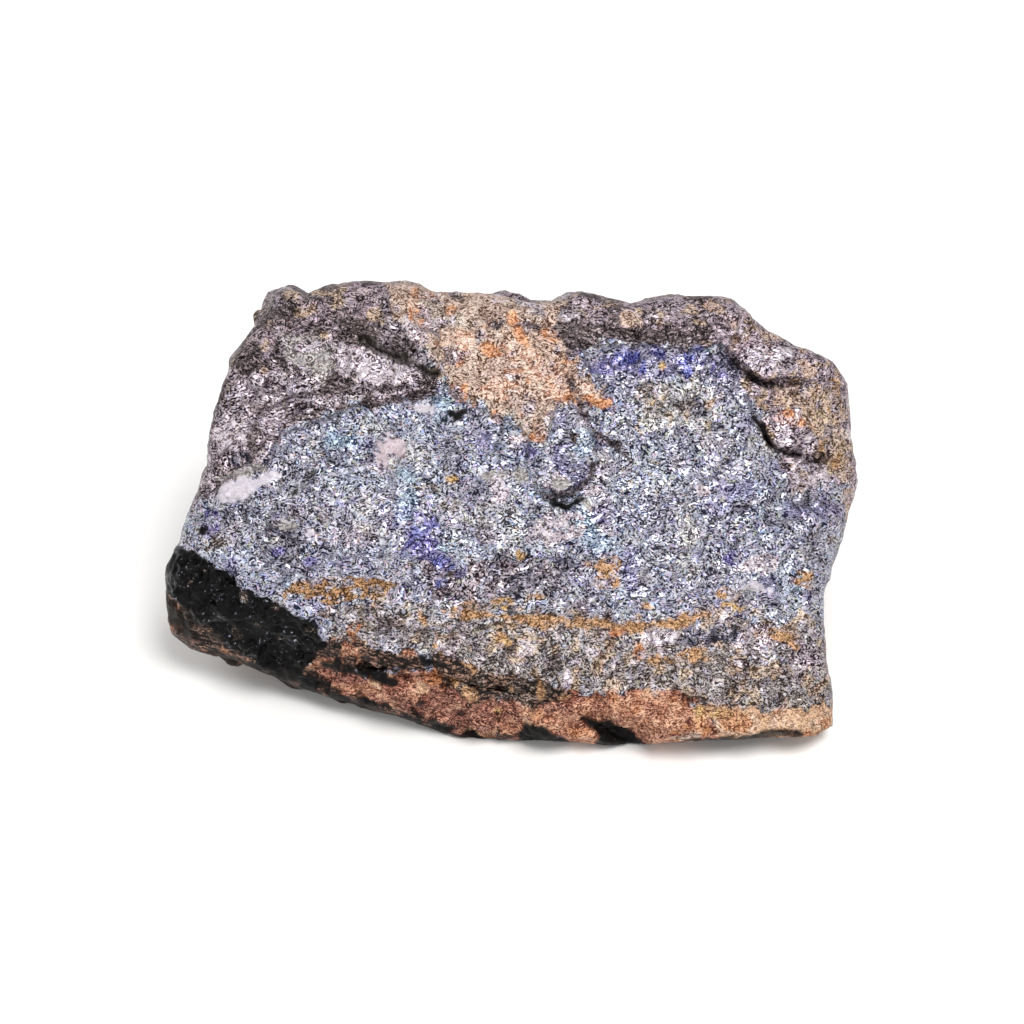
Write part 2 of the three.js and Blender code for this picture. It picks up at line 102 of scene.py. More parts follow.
# Raised plates: height, width of the edge, outline.
RUSTY_SLAB = [
    (-22, 46), (9.4, 46), (9.4, 33.3), (11.3, 28.1), (15.8, 20.8), (13.9, 18.1), (8.3, 19.4), (5.4, 12.5),
    (1.4, 13.5), (-5.6, 17.7), (-9.9, 20.3), (-13.2, 24.3), (-17.7, 30.7), (-20.8, 35.1),
]
PLATES = {
    "upper terrace": (1.2, 2.4, [
        (-58, 7), (-49, 9.4), (-44.6, 15.3), (-42.2, 17.9), (-37.3, 19.8), (-22.9, 21), (-17, 21.4),
        (-13.2, 23.3), (-12.5, 28), (-16, 46), (-58, 46)]),
    "lower terrace": (1.2, 1.8, [
        (-60, 2), (-47.2, 6.3), (-42, 8.7), (-38.9, 13.2), (-34.9, 15.1), (-29.9, 16.5), (-26.9, 18.4),
        (-21.2, 19.4), (-15.1, 19.8), (-11.6, 20.8), (-10.4, 24.7), (-12.5, 46), (-60, 46)]),
    "lip over the green crack": (1.3, 1.2, [
        (-25.4, 29.5), (-22.9, 28), (-17.9, 26), (-13.2, 24), (-11.1, 26), (-14.2, 30.7), (-18.6, 33.7),
        (-22.9, 33)]),
    "rusty slab": (1.2, 1.8, RUSTY_SLAB),
    "dark brow overhang": (1.4, 1.6, [
        (9, 46), (9.4, 29.9), (15.3, 28.1), (22.2, 28.3), (30, 27.1), (36.5, 28.1), (40.5, 31.6),
        (44.8, 46)]),
    "upper right shingle": (1.4, 1.3, [
        (38.4, 29.5), (36.6, 27.3), (38.9, 24.8), (40.8, 23.1), (42.7, 22.1), (50, 22.7), (55.2, 21.5),
        (66, 22.9), (58, 36), (40.5, 38)]),
    "lower right shingle": (1.2, 1.4, [
        (39.9, 19.8), (41.5, 16.2), (44.3, 11.6), (46.9, 10.6), (53.3, 8.9), (66, 7.3), (66, 22.9),
        (50, 22.4), (43.9, 21.5)]),
    "centre knob": (1.6, 2.2, [
        (3.1, 12.5), (5.7, 18.1), (10.1, 19.4), (13.2, 15.1), (14.1, 9.9), (13.2, 5.9), (11.1, 3.8),
        (8, 2.6), (4.9, 3.5), (3.1, 7.3)]),
    "rim over the black corner": (1, 1.2, [
        (-62, -6), (-55.2, -7.3), (-51.1, -9.2), (-47.1, -12), (-45.5, -14.1), (-40.1, -14.9),
        (-36.1, -17.4), (-33.5, -19.1), (-31, -22.4), (-24, -20), (-30, -8), (-50, 3), (-62, 3)]),
}

# Knobs (positive height) and pits (negative): s, t, half widths along and across, turn, height.
MOUNDS = {
    "rosy quartz knob": (-21, 10.6, 3.2, 2.8, 70, 1.1),
    "white quartz rib": (-45.6, 4, 7, 2.2, 12, 1.1),
    "pink knob": (10, -2.2, 6.5, 3.6, -10, 1.1),
    "cobble": (-11.8, -17.8, 2.6, 4.2, 0, 1.1),
    "brow bump": (-24, 38, 7, 3, 0, 1.2),
    "foot lump, middle": (7, -34.5, 6, 3.2, -8, 2),
    "foot lump, right": (29, -35.5, 5, 3, -12, 2.2),
    "foot lump, left": (-20, -31.5, 7, 2.4, -14, 1.7),
    "olive swell": (40, -27, 12, 6, -10, 1.2),
    "notch in the foot": (18.5, -37.6, 6.5, 2.6, -24, -4.5),
    "hollow in the foot, left": (-6, -37.5, 4.5, 2.2, -15, -1.8),
    "notch, lower right": (41.5, -39.4, 6.5, 1.7, 6, -2.4),
    "shadow below the knob": (8, -8.8, 4, 1.7, 0, -1),
    "dark dip, left": (-39, -2.5, 5, 3, 20, -0.9),
    "dark dip, right": (49.5, 2, 6, 3, -15, -1),
    "hole by the quartz rib": (-46, 8.9, 1.8, 1.3, -20, -1.2),
}

# Cracks: half width, depth, line.
CRACKS = {
    "green crack": (1.3, 2.2, [(-25.4, 29.3), (-22.9, 27.8), (-20.7, 26.6), (-17.9, 25.9), (-13, 23.6)]),
    "upper right crack": (1.1, 1.9, [(35.9, 28), (38.7, 24.8), (42.5, 22.1), (45.7, 21.5), (49, 22)]),
    "lower right crack": (1.1, 1.9, [
        (41.5, 16.2), (42.7, 14.2), (44.3, 11.1), (46.9, 10.4), (51.4, 9), (53.8, 9)]),
    "crack below the centre knob": (0.9, 1.2, [
        (13.7, 8), (12.9, 5.2), (11.3, 3.6), (9.6, 2.6), (6.9, 2.4), (4.9, 3)]),
    "seam down from the rusty slab": (0.7, 0.9, [
        (9.4, 23.6), (11.5, 18.6), (13.5, 14.6), (15.3, 12.3), (17.7, 11.5), (20.1, 8.7)]),
    "cleft in the rusty foot": (1.2, 2, [
        (-26, -26.6), (-18.6, -27.3), (-12.9, -28.2), (-6.4, -29.6), (1.4, -30.4)]),
}

# Fracture planes of the back and sides: outward normal (s, t, n), distance from the body's centre.
FRACTURES = [
    ((0.03, 0.62, -0.78), 24), ((-0.93, 0.1, -0.36), 53), ((-0.62, 0.12, -0.78), 38),
    ((0.95, -0.05, -0.3), 56), ((0.6, -0.2, -0.77), 38), ((-0.35, 0.7, -0.62), 37),
    ((0.25, 0.75, -0.61), 33), ((-0.12, -0.1, -0.99), 27), ((-0.45, -0.6, -0.66), 37),
    ((0.6, -0.45, -0.66), 42),
]


# ---------- Small mathematics, on whole arrays ----------
def lattice(x, y, z, seed):
    """A number from 0 to 1 for a lattice point: the fraction of 43758.5453 times the sine of
    127.1 x + 311.7 y + 74.7 z + 53.3 seed."""
    value = np.sin(x * 127.1 + y * 311.7 + z * 74.7 + seed * 53.3) * 43758.5453
    return value - np.floor(value)


def smooth_step(low, high, x):
    """3 u^2 - 2 u^3, where u is how far x is from low to high, held between 0 and 1."""
    u = np.clip((x - low) / (high - low), 0, 1)
    return u * u * (3 - 2 * u)


def noise(points, seed):
    """Smooth noise from -1 to 1 with a wavelength of one: the lattice numbers at the eight
    corners of the unit cube round each point, blended by 3 f^2 - 2 f^3 of its place in it."""
    cell = np.floor(points)
    part = points - cell
    part = part * part * (3 - 2 * part)
    total = np.zeros(len(points))
    for corner in range(8):
        step = np.array([corner & 1, corner >> 1 & 1, corner >> 2])
        weight = np.where(step == 1, part, 1 - part).prod(axis=1)
        total += weight * lattice(*(cell + step).T, seed)
    return 2 * total - 1


def hackle(points, tilt, step, seed, crispness=HACKLE_CRISPNESS):
    """Broken facets: the mean of the tilted planes carried by the 27 nearest scattered points,
    one to a unit cube, each weighted by e to the power of minus crispness times its distance
    squared."""
    cell = np.floor(points)
    total = np.zeros(len(points))
    height = np.zeros(len(points))
    for k in range(27):
        corner = cell + [k % 3 - 1, k // 3 % 3 - 1, k // 9 - 1]
        number = [lattice(*corner.T, seed + m) for m in range(7)]
        offset = points - corner - np.stack(number[:3], axis=1)
        weight = np.exp(-crispness * (offset * offset).sum(axis=1))
        slopes = 2 * np.stack(number[3:6], axis=1) - 1
        total += weight
        height += weight * (tilt * (slopes * offset).sum(axis=1) + step * (2 * number[6] - 1))
    return height / total


def distance_to_line(s, t, line):
    """The least distance from (s, t) to the segments of the line: each foot is the projection
    on the segment, held between its ends."""
    best = np.full(s.shape, np.inf)
    for (s0, t0), (s1, t1) in zip(line[:-1], line[1:]):
        ds, dt = s1 - s0, t1 - t0
        share = np.clip(((s - s0) * ds + (t - t0) * dt) / (ds * ds + dt * dt), 0, 1)
        best = np.minimum(best, np.hypot(s - s0 - share * ds, t - t0 - share * dt))
    return best


def depth_inside(s, t, outline):
    """Distance to the outline, positive inside it, where a ray to the right crosses the outline
    an odd number of times."""
    closed = list(outline) + [outline[0]]
    inside = np.zeros(s.shape, bool)
    for (s0, t0), (s1, t1) in zip(closed[:-1], closed[1:]):
        if t0 != t1:
            crosses = ((t0 > t) != (t1 > t)) & (s < s0 + (t - t0) * (s1 - s0) / (t1 - t0))
            inside ^= crosses
    return np.where(inside, 1, -1) * distance_to_line(s, t, closed)


def reach_of_ellipse(s, t, at_s, at_t, half_s, half_t, turn=0):
    """How far out (s, t) is in the turned ellipse, 1 on its edge: the length of the offset
    along and across the turn, each divided by its half width."""
    cos, sin = np.cos(np.radians(turn)), np.sin(np.radians(turn))
    along = (s - at_s) * cos + (t - at_t) * sin
    across = (t - at_t) * cos - (s - at_s) * sin
    return np.hypot(along / half_s, across / half_t)


# ---------- The skin of the stone ----------
CONTOUR_ANGLES = [np.arctan2(t, s) for s, t in CONTOUR]
CONTOUR_REACHES = [np.hypot(s, t) for s, t in CONTOUR]


def face_height(s, t):
    """n over (s, t): the soft minimum of the face planes, plus each plate inside its outline,
    each mound, and minus each crack within its half width; ledges and cracks waver by noise."""
    total = np.zeros(s.shape)
    for (s0, t0, n0), slope, towards in FACE_PLANES:
        turn = np.radians(towards)
        run = (s - s0) * np.cos(turn) + (t - t0) * np.sin(turn)
        total += np.exp(-PLANE_BLEND * (n0 - slope * run))
    n = -np.log(total) / PLANE_BLEND
    place = np.stack([s.ravel(), t.ravel(), 0 * s.ravel()], axis=1)
    waver = WAVER * (noise(place / 2.3, 200) + 0.6 * noise(place / 1.1, 201)).reshape(s.shape)
    for height, ramp, outline in PLATES.values():
        depth = depth_inside(s, t, outline) + waver
        n += height * smooth_step(-ramp / 2, ramp / 2, LEDGE_CRISPNESS * depth)
    for *ellipse, height in MOUNDS.values():
        n += height * smooth_step(MOUND_FOOT, MOUND_TOP, reach_of_ellipse(s, t, *ellipse))
    for half, depth, line in CRACKS.values():
        n -= depth * smooth_step(CRACK_WIDTH * half, 0, distance_to_line(s + waver, t - waver, line))
    return n


def chop(points):
    """Draws points in to the fracture planes along their lines to the body's centre: the offset
    is divided by (1 + the sum of (reach / distance)^k) to the power of 1 / k."""
    centre = np.array([0, 0, BODY_CENTRE_N])
    offset = points - centre
    total = np.ones(len(points))
    for normal, distance in FRACTURES:
        unit = np.array(normal) / np.linalg.norm(normal)
        total += np.maximum(0, offset @ unit / distance) ** CHOP_SHARPNESS
    return centre + offset * total[:, None] ** (-1 / CHOP_SHARPNESS)


def skin_points(a, b, front):
    """Points of the skin for a and b from -1 to 1 across and up the face. Square rings of
    (a, b) become scaled contours. The front is the face height with a quarter-circle roll at
    the contour; the back is a superellipse from the contour to the middle of the rear, chopped."""
    out = np.maximum(np.abs(a), np.abs(b))
    angle = np.arctan2(b, a * GRID_ASPECT)
    cos, sin = np.cos(angle), np.sin(angle)
    reach = np.interp(angle, CONTOUR_ANGLES, CONTOUR_REACHES, period=2 * np.pi)
    if front:
        roll = np.clip((out - EDGE_START) / (1 - EDGE_START), 0, 1)
        s, t = out * reach * cos, out * reach * sin
        n = face_height(s, t) - EDGE_DROP * (1 - np.sqrt(1 - roll * roll))
        return np.stack([s, t, n], axis=1)
    edge = face_height(reach * cos, reach * sin) - EDGE_DROP
    turn = (1 - out) * 0.5 * np.pi
    size = np.cos(turn) ** SIDE_SQUARENESS + np.sin(turn) ** SIDE_SQUARENESS
    size **= 1 / SIDE_SQUARENESS
    spread = np.cos(turn) * reach / size
    depth = np.sin(turn) * (edge + BODY_DEPTH) / size
    return chop(np.stack([spread * cos, spread * sin, edge - depth], axis=1))


def fan(corners):
    """Triangles from the first corner to each edge of the loop of corners that follow it."""
    return [np.stack([corners[0], corners[k], corners[k + 1]], axis=-1).reshape(-1, 3)
            for k in range(1, len(corners) - 1)]


def skin_mesh():
    """The two grids of the skin, joined on the contour. The front has two cells to each one of
    the back, so a back cell on the contour is a fan of triangles that takes in the extra
    points. Returns points, triangles, and out and front for each point."""
    across, up = BACK_CELLS
    i, j = np.meshgrid(np.arange(2 * across + 1), np.arange(2 * up + 1), indexing="ij")
    front_a, front_b = i.ravel() / across - 1, j.ravel() / up - 1
    front = np.arange(i.size).reshape(i.shape)
    i, j = np.meshgrid(np.arange(1, across), np.arange(1, up), indexing="ij")
    back_a, back_b = 2 * i.ravel() / across - 1, 2 * j.ravel() / up - 1
    back = front[::2, ::2].copy()
    back[1:-1, 1:-1] = front.size + np.arange(i.size).reshape(i.shape)

    points = np.concatenate([
        skin_points(front_a, front_b, True), skin_points(back_a, back_b, False)])
    out = np.maximum(np.abs(np.concatenate([front_a, back_a])),
                     np.abs(np.concatenate([front_b, back_b])))

    p, q, r, u = front[:-1, :-1], front[1:, :-1], front[1:, 1:], front[:-1, 1:]
    long = np.linalg.norm(points[p] - points[r], axis=-1) > np.linalg.norm(points[q] - points[u], axis=-1)
    triangles = [np.where(long[..., None, None], np.stack([
        np.stack([p, q, u], -1), np.stack([q, r, u], -1)], -2), np.stack([
            np.stack([p, q, r], -1), np.stack([p, r, u], -1)], -2)).reshape(-1, 3)]
    p, q, r, u = back[1:-2, 1:-2], back[1:-2, 2:-1], back[2:-1, 2:-1], back[2:-1, 1:-2]
    triangles += fan([p, q, r, u])
    for flip_i, flip_j in ((0, 0), (1, 0), (0, 1), (1, 1)):
        # each quarter of the contour's cells, as if it were the corner at a = b = -1
        f = front[::-1 if flip_i else 1, ::-1 if flip_j else 1]
        g = back[::-1 if flip_i else 1, ::-1 if flip_j else 1]
        half_i, half_j = across // 2 + flip_i * (across % 2), up // 2 + flip_j * (up % 2)
        loops = [[g[1:2, 1:2], g[0:1, 1:2], f[0:1, 1:2], g[0:1, 0:1], f[1:2, 0:1], g[1:2, 0:1]]]
        low = np.arange(1, half_i)
        loops.append([g[low + 1, 1], g[low, 1], g[low, 0], f[2 * low + 1, 0], g[low + 1, 0]])
        low = np.arange(1, half_j)
        loops.append([g[1, low + 1], g[0, low + 1], f[0, 2 * low + 1], g[0, low], g[1, low]])
        for loop in loops:
            made = np.concatenate(fan([corner.ravel() for corner in loop]))
            triangles.append(made if flip_i != flip_j else made[:, ::-1])
    is_front = np.arange(len(points)) < front.size
    return points, np.concatenate(triangles), out, is_front


def vertex_normals(points, triangles):
    """The sum of the cross products of the triangles round each point, made one unit long."""
    corner = points[triangles]
    cross = np.cross(corner[:, 1] - corner[:, 0], corner[:, 2] - corner[:, 0])
    total = np.stack([
        np.bincount(triangles.ravel(), np.repeat(cross[:, k], 3), len(points))
        for k in range(3)], axis=1)
    return total / np.linalg.norm(total, axis=1, keepdims=True)


def to_bench(points):
    """Turns face coordinates to the bench's: s stays level, n leans back by the lean, and the
    face's middle goes to its place above the bench."""
    s, t, n = points.T
    return np.stack([
        s, t * np.sin(LEAN) - n * np.cos(LEAN) - FACE_FORWARD,
        t * np.cos(LEAN) + n * np.sin(LEAN) + FACE_HEIGHT], axis=1)


def seat_on_bench(points):
    """Draws points below the bench in to it along their lines to the body's centre, and lifts
    them by shallow hollows of smooth noise, no steeper than the hollow slope."""
    centre = to_bench(np.array([[0.0, 0.0, BODY_CENTRE_N]]))[0]
    below = np.maximum(0, -points[:, 2])
    share = centre[2] / (centre[2] + below)
    drawn = centre + (points - centre) * share[:, None]
    place = np.stack([drawn[:, 0] / HOLLOW_SIZE, drawn[:, 1] / HOLLOW_SIZE,
                      np.full(len(points), 0.5)], axis=1)
    hollow = np.minimum(HOLLOW_DEPTH * (noise(place, 30) - HOLLOW_BIAS), HOLLOW_SLOPE * below)
    drawn[:, 2] = np.where(below > 0, np.maximum(0, hollow), points[:, 2])
    return drawn


# ---------- Minerals and where they lie ----------
# Each look: its dark, middle and bright tones, then how metallic, how rough, how crumpled, how
# far its flecks lean to bright (above 0) or dark, how drawn out in streaks, how flecked with
# other hues, and how much of the fine relief it takes.
LOOKS = {
    "steel blue tarnish": ("22222f", "b2b5c4", "ced2dc", 0.6, 0.43, 1, 0, 0, 1, 1),
    "silver tarnish": ("2a282e", "b2afb7", "d8d5dc", 0.6, 0.42, 1, 0.05, 0, 0.8, 1),
    "lilac tarnish": ("262332", "a09cac", "d2cedc", 0.6, 0.43, 1, 0, 0, 1, 1),
    "dusky tarnish": ("16141c", "5f5c69", "b2aebb", 0.6, 0.42, 1, -0.1, 0, 0.7, 1),
    "violet tarnish": ("1c1738", "6a639a", "aba5cc", 0.65, 0.4, 1, -0.1, 0, 0.2, 1),
    "cobalt tarnish": ("1a1744", "6264aa", "9a9ed0", 0.7, 0.4, 1, -0.1, 0, 0.1, 1),
    "cyan tarnish": ("23384f", "86a8c6", "c8e2ee", 0.65, 0.34, 1, 0, 0, 0.2, 1),
    "mauve bornite": ("1b1114", "84747a", "d6ccd2", 0.55, 0.42, 1, -0.05, 0.25, 0.5, 1),
    "pink bornite": ("1e1218", "9e8c94", "d8ccd3", 0.55, 0.44, 1, 0, 0, 0.5, 1),
    "pale pink bornite": ("44323a", "cebfc6", "dfd7dc", 0.5, 0.42, 0.8, 0.1, 0, 0.4, 1),
    "umber brow": ("140d0e", "625556", "ab9b9d", 0.45, 0.5, 1, -0.05, 0.5, 0.3, 1.1),
    "mauve brow": ("2b1e22", "a3929a", "d0bfc5", 0.45, 0.47, 0.9, 0, 0.4, 0.5, 0.9),
    "cream slab": ("3e2b23", "ac9484", "d6cabd", 0.15, 0.55, 0.9, 0.05, 0.1, 0.3, 0.9),
    "peach slab": ("41281b", "ac8873", "d3bfb1", 0.1, 0.55, 0.9, 0.1, 0.1, 0.3, 0.9),
    "apricot slab": ("784a35", "cfa48a", "e6d0c0", 0.1, 0.55, 0.8, 0.1, 0, 0.3, 0.9),
    "orange rust": ("54260f", "a8653c", "d09a70", 0, 0.7, 0.9, 0, 0.1, 0.2, 0.9),
    "brown rust": ("38200e", "9c7248", "c8a078", 0.05, 0.65, 0.95, 0, 0.2, 0.4, 0.9),
    "orange stain": ("7a4426", "c48458", "e4b692", 0.05, 0.6, 0.9, 0.05, 0.1, 0.3, 0.9),
    "ochre rust": ("50341c", "aa8058", "d6ae86", 0.05, 0.65, 0.8, 0, 0.2, 0.3, 0.9),
    "yellow ochre": ("4c3319", "ae8850", "d6b684", 0, 0.65, 0.8, 0.1, 0.1, 0.2, 0.9),
    "olive rock": ("2c2321", "81766e", "d4cdce", 0.35, 0.5, 1, -0.05, 0.15, 0.8, 0.9),
    "olive white rock": ("3a332f", "bab6af", "e2e0dd", 0.45, 0.44, 0.9, 0.05, 0, 0.7, 1),
    "tan rock": ("664a38", "c8a080", "e0c4a6", 0.1, 0.6, 0.65, 0, 0.15, 0.4, 0.9),
    "tan stain": ("40301f", "ae9078", "dac6ae", 0.2, 0.55, 0.97, 0, 0.15, 0.6, 0.9),
    "red brown rock": ("34160e", "9a5e4d", "cc9a82", 0, 0.6, 0.95, -0.03, 0.35, 0.2, 1.4),
    "rusty rock": ("5e3424", "bc8064", "e0b89a", 0, 0.6, 0.8, 0, 0.3, 0.2, 1.4),
    "foliated rock": ("0a0504", "5e4236", "a88370", 0.15, 0.5, 0.8, -0.1, 1, 0.1, 1.1),
    "grey foliated rock": ("120b08", "665449", "a8958a", 0.3, 0.5, 0.9, -0.1, 0.8, 0.3, 1),
    # black facet: a black mineral; its bright tone is the colour of its painted glints
    "black facet": ("020203", "08080a", "c4cadc", 0.5, 0.4, 1, -0.7, 0, 0, 1.6),
    # black rock: the colour of the dark rock, and also laid as painted shadow under the rim, in the notches
    # of the foot, in cracks and under ledges
    "black rock and painted shadow": ("040303", "0c0908", "6a574b", 0.4, 0.6, 0.6, -0.55, 0.8, 0, 1),
    # painted shadow in cracks, greenish black
    "green black crack shadow": ("12100c", "2a2620", "6b635a", 0.5, 0.5, 0.6, -0.25, 0, 0.1, 1),
    "white quartz": ("8a828d", "b6afb7", "d2ccd3", 0, 0.35, 0.45, 0, 0, 0, 0.5),
    "grey quartz": ("544e4e", "888280", "bebab6", 0, 0.4, 0.7, 0, 0, 0.4, 0.6),
    "rosy quartz": ("7a6266", "b8a8ad", "d2c8cd", 0, 0.35, 0.45, 0, 0, 0.2, 0.6),
}
# Areas of the broad face, laid in this order: look, share covered, raggedness of the edge in
# millimetres, outline, and what dapples it: look, wavelength, and the noise above which it shows.
AREAS = [
    ("olive rock", 0.7, 2.5, [
        (-31, -15), (-7.5, -15.5), (5, -17), (22, -19), (32.5, -17.5), (55, -19), (60, -26), (60, -30),
        (5, -30), (-12.5, -27), (-31.5, -23)],
        [("pale pink bornite", 1.6, 0.5), ("tan stain", 1.6, 0.3), ("umber brow", 2, 0.4)]),
    ("mauve bornite", 0.97, 1.5, [
        (-55, 1), (-48.5, 3.5), (-43.5, 7.5), (-40, 13), (-34.5, 15), (-29, 17.5), (-21, 18.5), (-13, 20),
        (-12.5, 24.5), (-20.5, 38), (-23, 47), (-59.5, 47), (-66.5, 1)],
        [("pink bornite", 3.5, 0), ("umber brow", 2.4, 0.25)]),
    ("pink bornite", 0.75, 2, [
        (-51, 3), (-42, 8), (-39, 13), (-37, 17), (-41, 20), (-46, 17), (-51, 10), (-56, 3)],
        [("pale pink bornite", 2.5, 0.35), ("umber brow", 2, 0.3)]),
    ("pale pink bornite", 0.75, 1.5, [
        (-30, 30), (-25, 30), (-21, 27), (-15, 24), (-17, 22), (-24, 23), (-30, 25)], []),
    # the dark brow along the top is the stone's own colour made darker with painted shade, as the top band
    # tilts back from the light
    ("umber brow", 0.93, 2, [
        (-43.5, 36), (-37.5, 37), (-33.5, 44), (-20.5, 44), (-21, 33.5), (-21.5, 29), (-25.5, 29),
        (-30, 28.5), (-39.5, 30), (-39, 25), (-49.5, 24), (-54, 24), (-54, 36)],
        [("mauve brow", 3, 0.2), ("tan stain", 2, 0.5)]),
    ("grey quartz", 0.7, 1, [
        (-40, 30.5), (-37, 30), (-30, 28.5), (-30, 24.5), (-32.5, 22), (-37, 24.5), (-39, 28)],
        [("olive rock", 2, 0.2), ("pink bornite", 2, 0.3)]),
    ("cream slab", 0.93, 1.5, RUSTY_SLAB, [
        ("mauve brow", 3, 0.25), ("peach slab", 5, -0.1), ("pale pink bornite", 2.5, 0.4)]),
    ("peach slab", 0.7, 2.5, [
        (-14, 30), (8, 34), (9, 31), (15, 20.5), (8.5, 20), (5, 14), (-6, 18), (-10, 22)],
        [("orange rust", 1.5, 0.68), ("pink bornite", 2.5, 0.35)]),
    # the brow along the top right is likewise its own colour made darker with painted shade
    ("mauve brow", 0.95, 1.5, [
        (8.5, 47), (43, 47), (40, 29), (32.5, 27.5), (22, 28.5), (15.5, 28), (9.5, 28), (8, 33.5)],
        [("umber brow", 3.5, 0.1), ("tan stain", 1.8, 0.45), ("pink bornite", 2.5, 0.4)]),
    ("umber brow", 0.85, 1.5, [
        (7.5, 33), (13.5, 33.5), (22, 31.5), (32.5, 31), (32.5, 28), (22, 28.5), (15.5, 28), (10.5, 26),
        (8.5, 28)], []),
    ("lilac tarnish", 0.6, 2, [
        (10.5, 28), (22, 28), (38.5, 28), (38.5, 20.5), (32.5, 22), (25.5, 22), (22, 19.5), (15.5, 22),
        (11, 24.5)], []),
    ("violet tarnish", 0.6, 1.2, [
        (15, 27.5), (33, 28), (34, 23.5), (24, 22.5), (16, 23.5)],
        [("lilac tarnish", 1.8, 0), ("cobalt tarnish", 1.6, 0.5)]),
    ("olive white rock", 0.7, 2, [
        (21, 21), (27, 22.5), (35.5, 21), (33, 13), (22, 14)], [("tan stain", 1.5, 0.4)]),
    ("mauve brow", 0.95, 1.5, [
        (40.5, 47), (65.5, 47), (65.5, 7.5), (56, 4), (48.5, 4.5), (44, 11), (41.5, 17), (40, 22),
        (36, 28)], [("pink bornite", 4, 0), ("tan stain", 1.6, 0.3), ("peach slab", 2, 0.5)]),
    ("tan stain", 0.7, 2, [
        (44, 22), (56, 22), (60, 16), (60, 5), (54, 6), (50, 14), (45, 17)],
        [("pink bornite", 2, 0.1), ("peach slab", 2, 0.3), ("ochre rust", 1.6, 0.5)]),
    ("pink bornite", 0.85, 1.2, [
        (37, 28), (41.5, 29), (47.5, 28), (48.5, 24.5), (43, 23.5), (40.5, 25)],
        [("pale pink bornite", 2, 0.3)]),
    ("pink bornite", 0.85, 1.2, [
        (44, 16), (49, 17.5), (52, 12.5), (50, 9.5), (45, 11)], [("pale pink bornite", 2, 0.3)]),
    ("mauve brow", 0.9, 1.5, [
        (57, 24), (65.5, 23), (65.5, -22), (54.5, -22), (56.5, -8.5), (58, 2)],
        [("tan stain", 1.5, 0.35), ("pale pink bornite", 2, 0.4)]),
    ("olive rock", 0.9, 2, [
        (5, -21), (19, -22), (25.5, -22.5), (32.5, -24), (46.5, -25), (60, -23), (62, -47), (36.5, -46.5),
        (33, -34.5), (29, -32.5), (24, -31), (16, -31.5), (6, -29), (-2, -28.5), (-11.5, -25), (-16, -22),
        (-7.5, -19)], [("tan stain", 1.8, 0.2), ("pale pink bornite", 1.6, 0.5), ("umber brow", 2, 0.65)]),
    ("tan rock", 0.8, 1.5, [
        (33.5, -33.6), (46.5, -34), (56, -32.5), (60, -45), (33.5, -45)],
        [("orange rust", 3, 0.45), ("umber brow", 2.5, 0.8)]),
    ("foliated rock", 0.97, 1.5, [
        (-66, -12), (-57, -13.5), (-50, -20), (-38, -23), (-32, -24), (-30, -31), (-45.5, -38), (-70, -29)],
        [("rusty rock", 2, 0.5), ("black rock and painted shadow", 3, -0.1)]),
    ("red brown rock", 0.97, 1.5, [
        (-34, -26), (-23, -28), (-12.5, -25), (-7.5, -31), (5, -31.5), (12, -31), (16, -30.5), (24, -30),
        (29, -32), (33, -34), (36.5, -36.5), (40, -47), (-46, -47), (-44, -34), (-34, -30)],
        [("rusty rock", 4, 0.25), ("black rock and painted shadow", 3, 0.75), ("tan rock", 3, 0.5)]),
    ("rusty rock", 0.8, 1.5, [
        (2, -34), (8, -33.5), (16, -31), (25, -31), (33, -35), (36, -38), (30, -41), (10, -41)],
        [("orange rust", 3.5, 0.35), ("red brown rock", 3, 0.45)]),
    ("rusty rock", 0.8, 1.5, [(-31, -28.5), (-24, -30.5), (-22, -34), (-26, -34), (-31, -31)], []),
    ("foliated rock", 0.97, 1.2, [
        (-34, -21.5), (-24, -22.5), (-16.5, -23.5), (-11.5, -25), (-12, -28), (-16, -27), (-23, -27.8),
        (-31.5, -27.2), (-44, -26.5), (-37, -23)], [("rusty rock", 2, 0.35)]),
    ("grey foliated rock", 0.95, 1.2, [
        (-14, -24.5), (-6.5, -26.5), (-2, -27.5), (6, -28.5), (9, -31), (5, -33), (-7.5, -32.5),
        (-12.5, -29)], [("foliated rock", 3, 0.1), ("ochre rust", 1.6, 0.6)]),
    # painted shadow: black along the lower edge, where the underside rolls away into shade
    ("black rock and painted shadow", 0.95, 1.2, [
        (-47, -25.5), (-37, -27), (-30, -31), (-21, -34), (-12.5, -36.8), (-5.5, -38.8), (5, -39.8),
        (5, -47), (-50, -47)], [("foliated rock", 2.5, 0.3)]),
    ("black facet", 0.99, 0.8, [
        (-63, -5.5), (-58, -6.3), (-55, -7.3), (-51, -9), (-47, -12), (-42.5, -14.5), (-38.5, -16.5),
        (-33.5, -19), (-31.5, -23), (-37, -27), (-43, -27), (-50, -23), (-53, -19.5), (-57, -16),
        (-63, -13)], [("grey foliated rock", 2, 0.7)]),
    ("grey quartz", 0.9, 0.7, [
        (-50.5, 5.5), (-45.5, 8.7), (-42, 8.4), (-40.5, 7), (-45, 5.8), (-49, 4.8)], []),
    ("white quartz", 0.95, 0.7, [
        (-50.4, 3.7), (-49.3, 5.2), (-45.5, 5.9), (-40.3, 7.3), (-39.8, 5.9), (-43.4, 3.5), (-47.2, 1.7),
        (-51, 1.6)], []),
    ("mauve bornite", 0.5, 2, [(-16, -8), (8, -8), (10, -14), (-14, -15)], [("dusky tarnish", 3, 0.2)]),
    ("violet tarnish", 0.85, 1, [
        (33.5, 27.5), (38, 26.5), (39, 23.5), (36, 21.8), (33, 23)], [("dusky tarnish", 1.8, -0.4)]),
    # painted shadow in the notch and the hollow of the foot
    ("black rock and painted shadow", 1, 0.5, [
        (11.5, -35), (15, -35.3), (19, -37.2), (24, -40.5), (24, -42), (14, -42), (15, -38.5)], []),
    ("black rock and painted shadow", 1, 0.5, [(2, -36.5), (6, -37), (10, -39.5), (10, -42), (4, -42), (1, -39)], []),
]

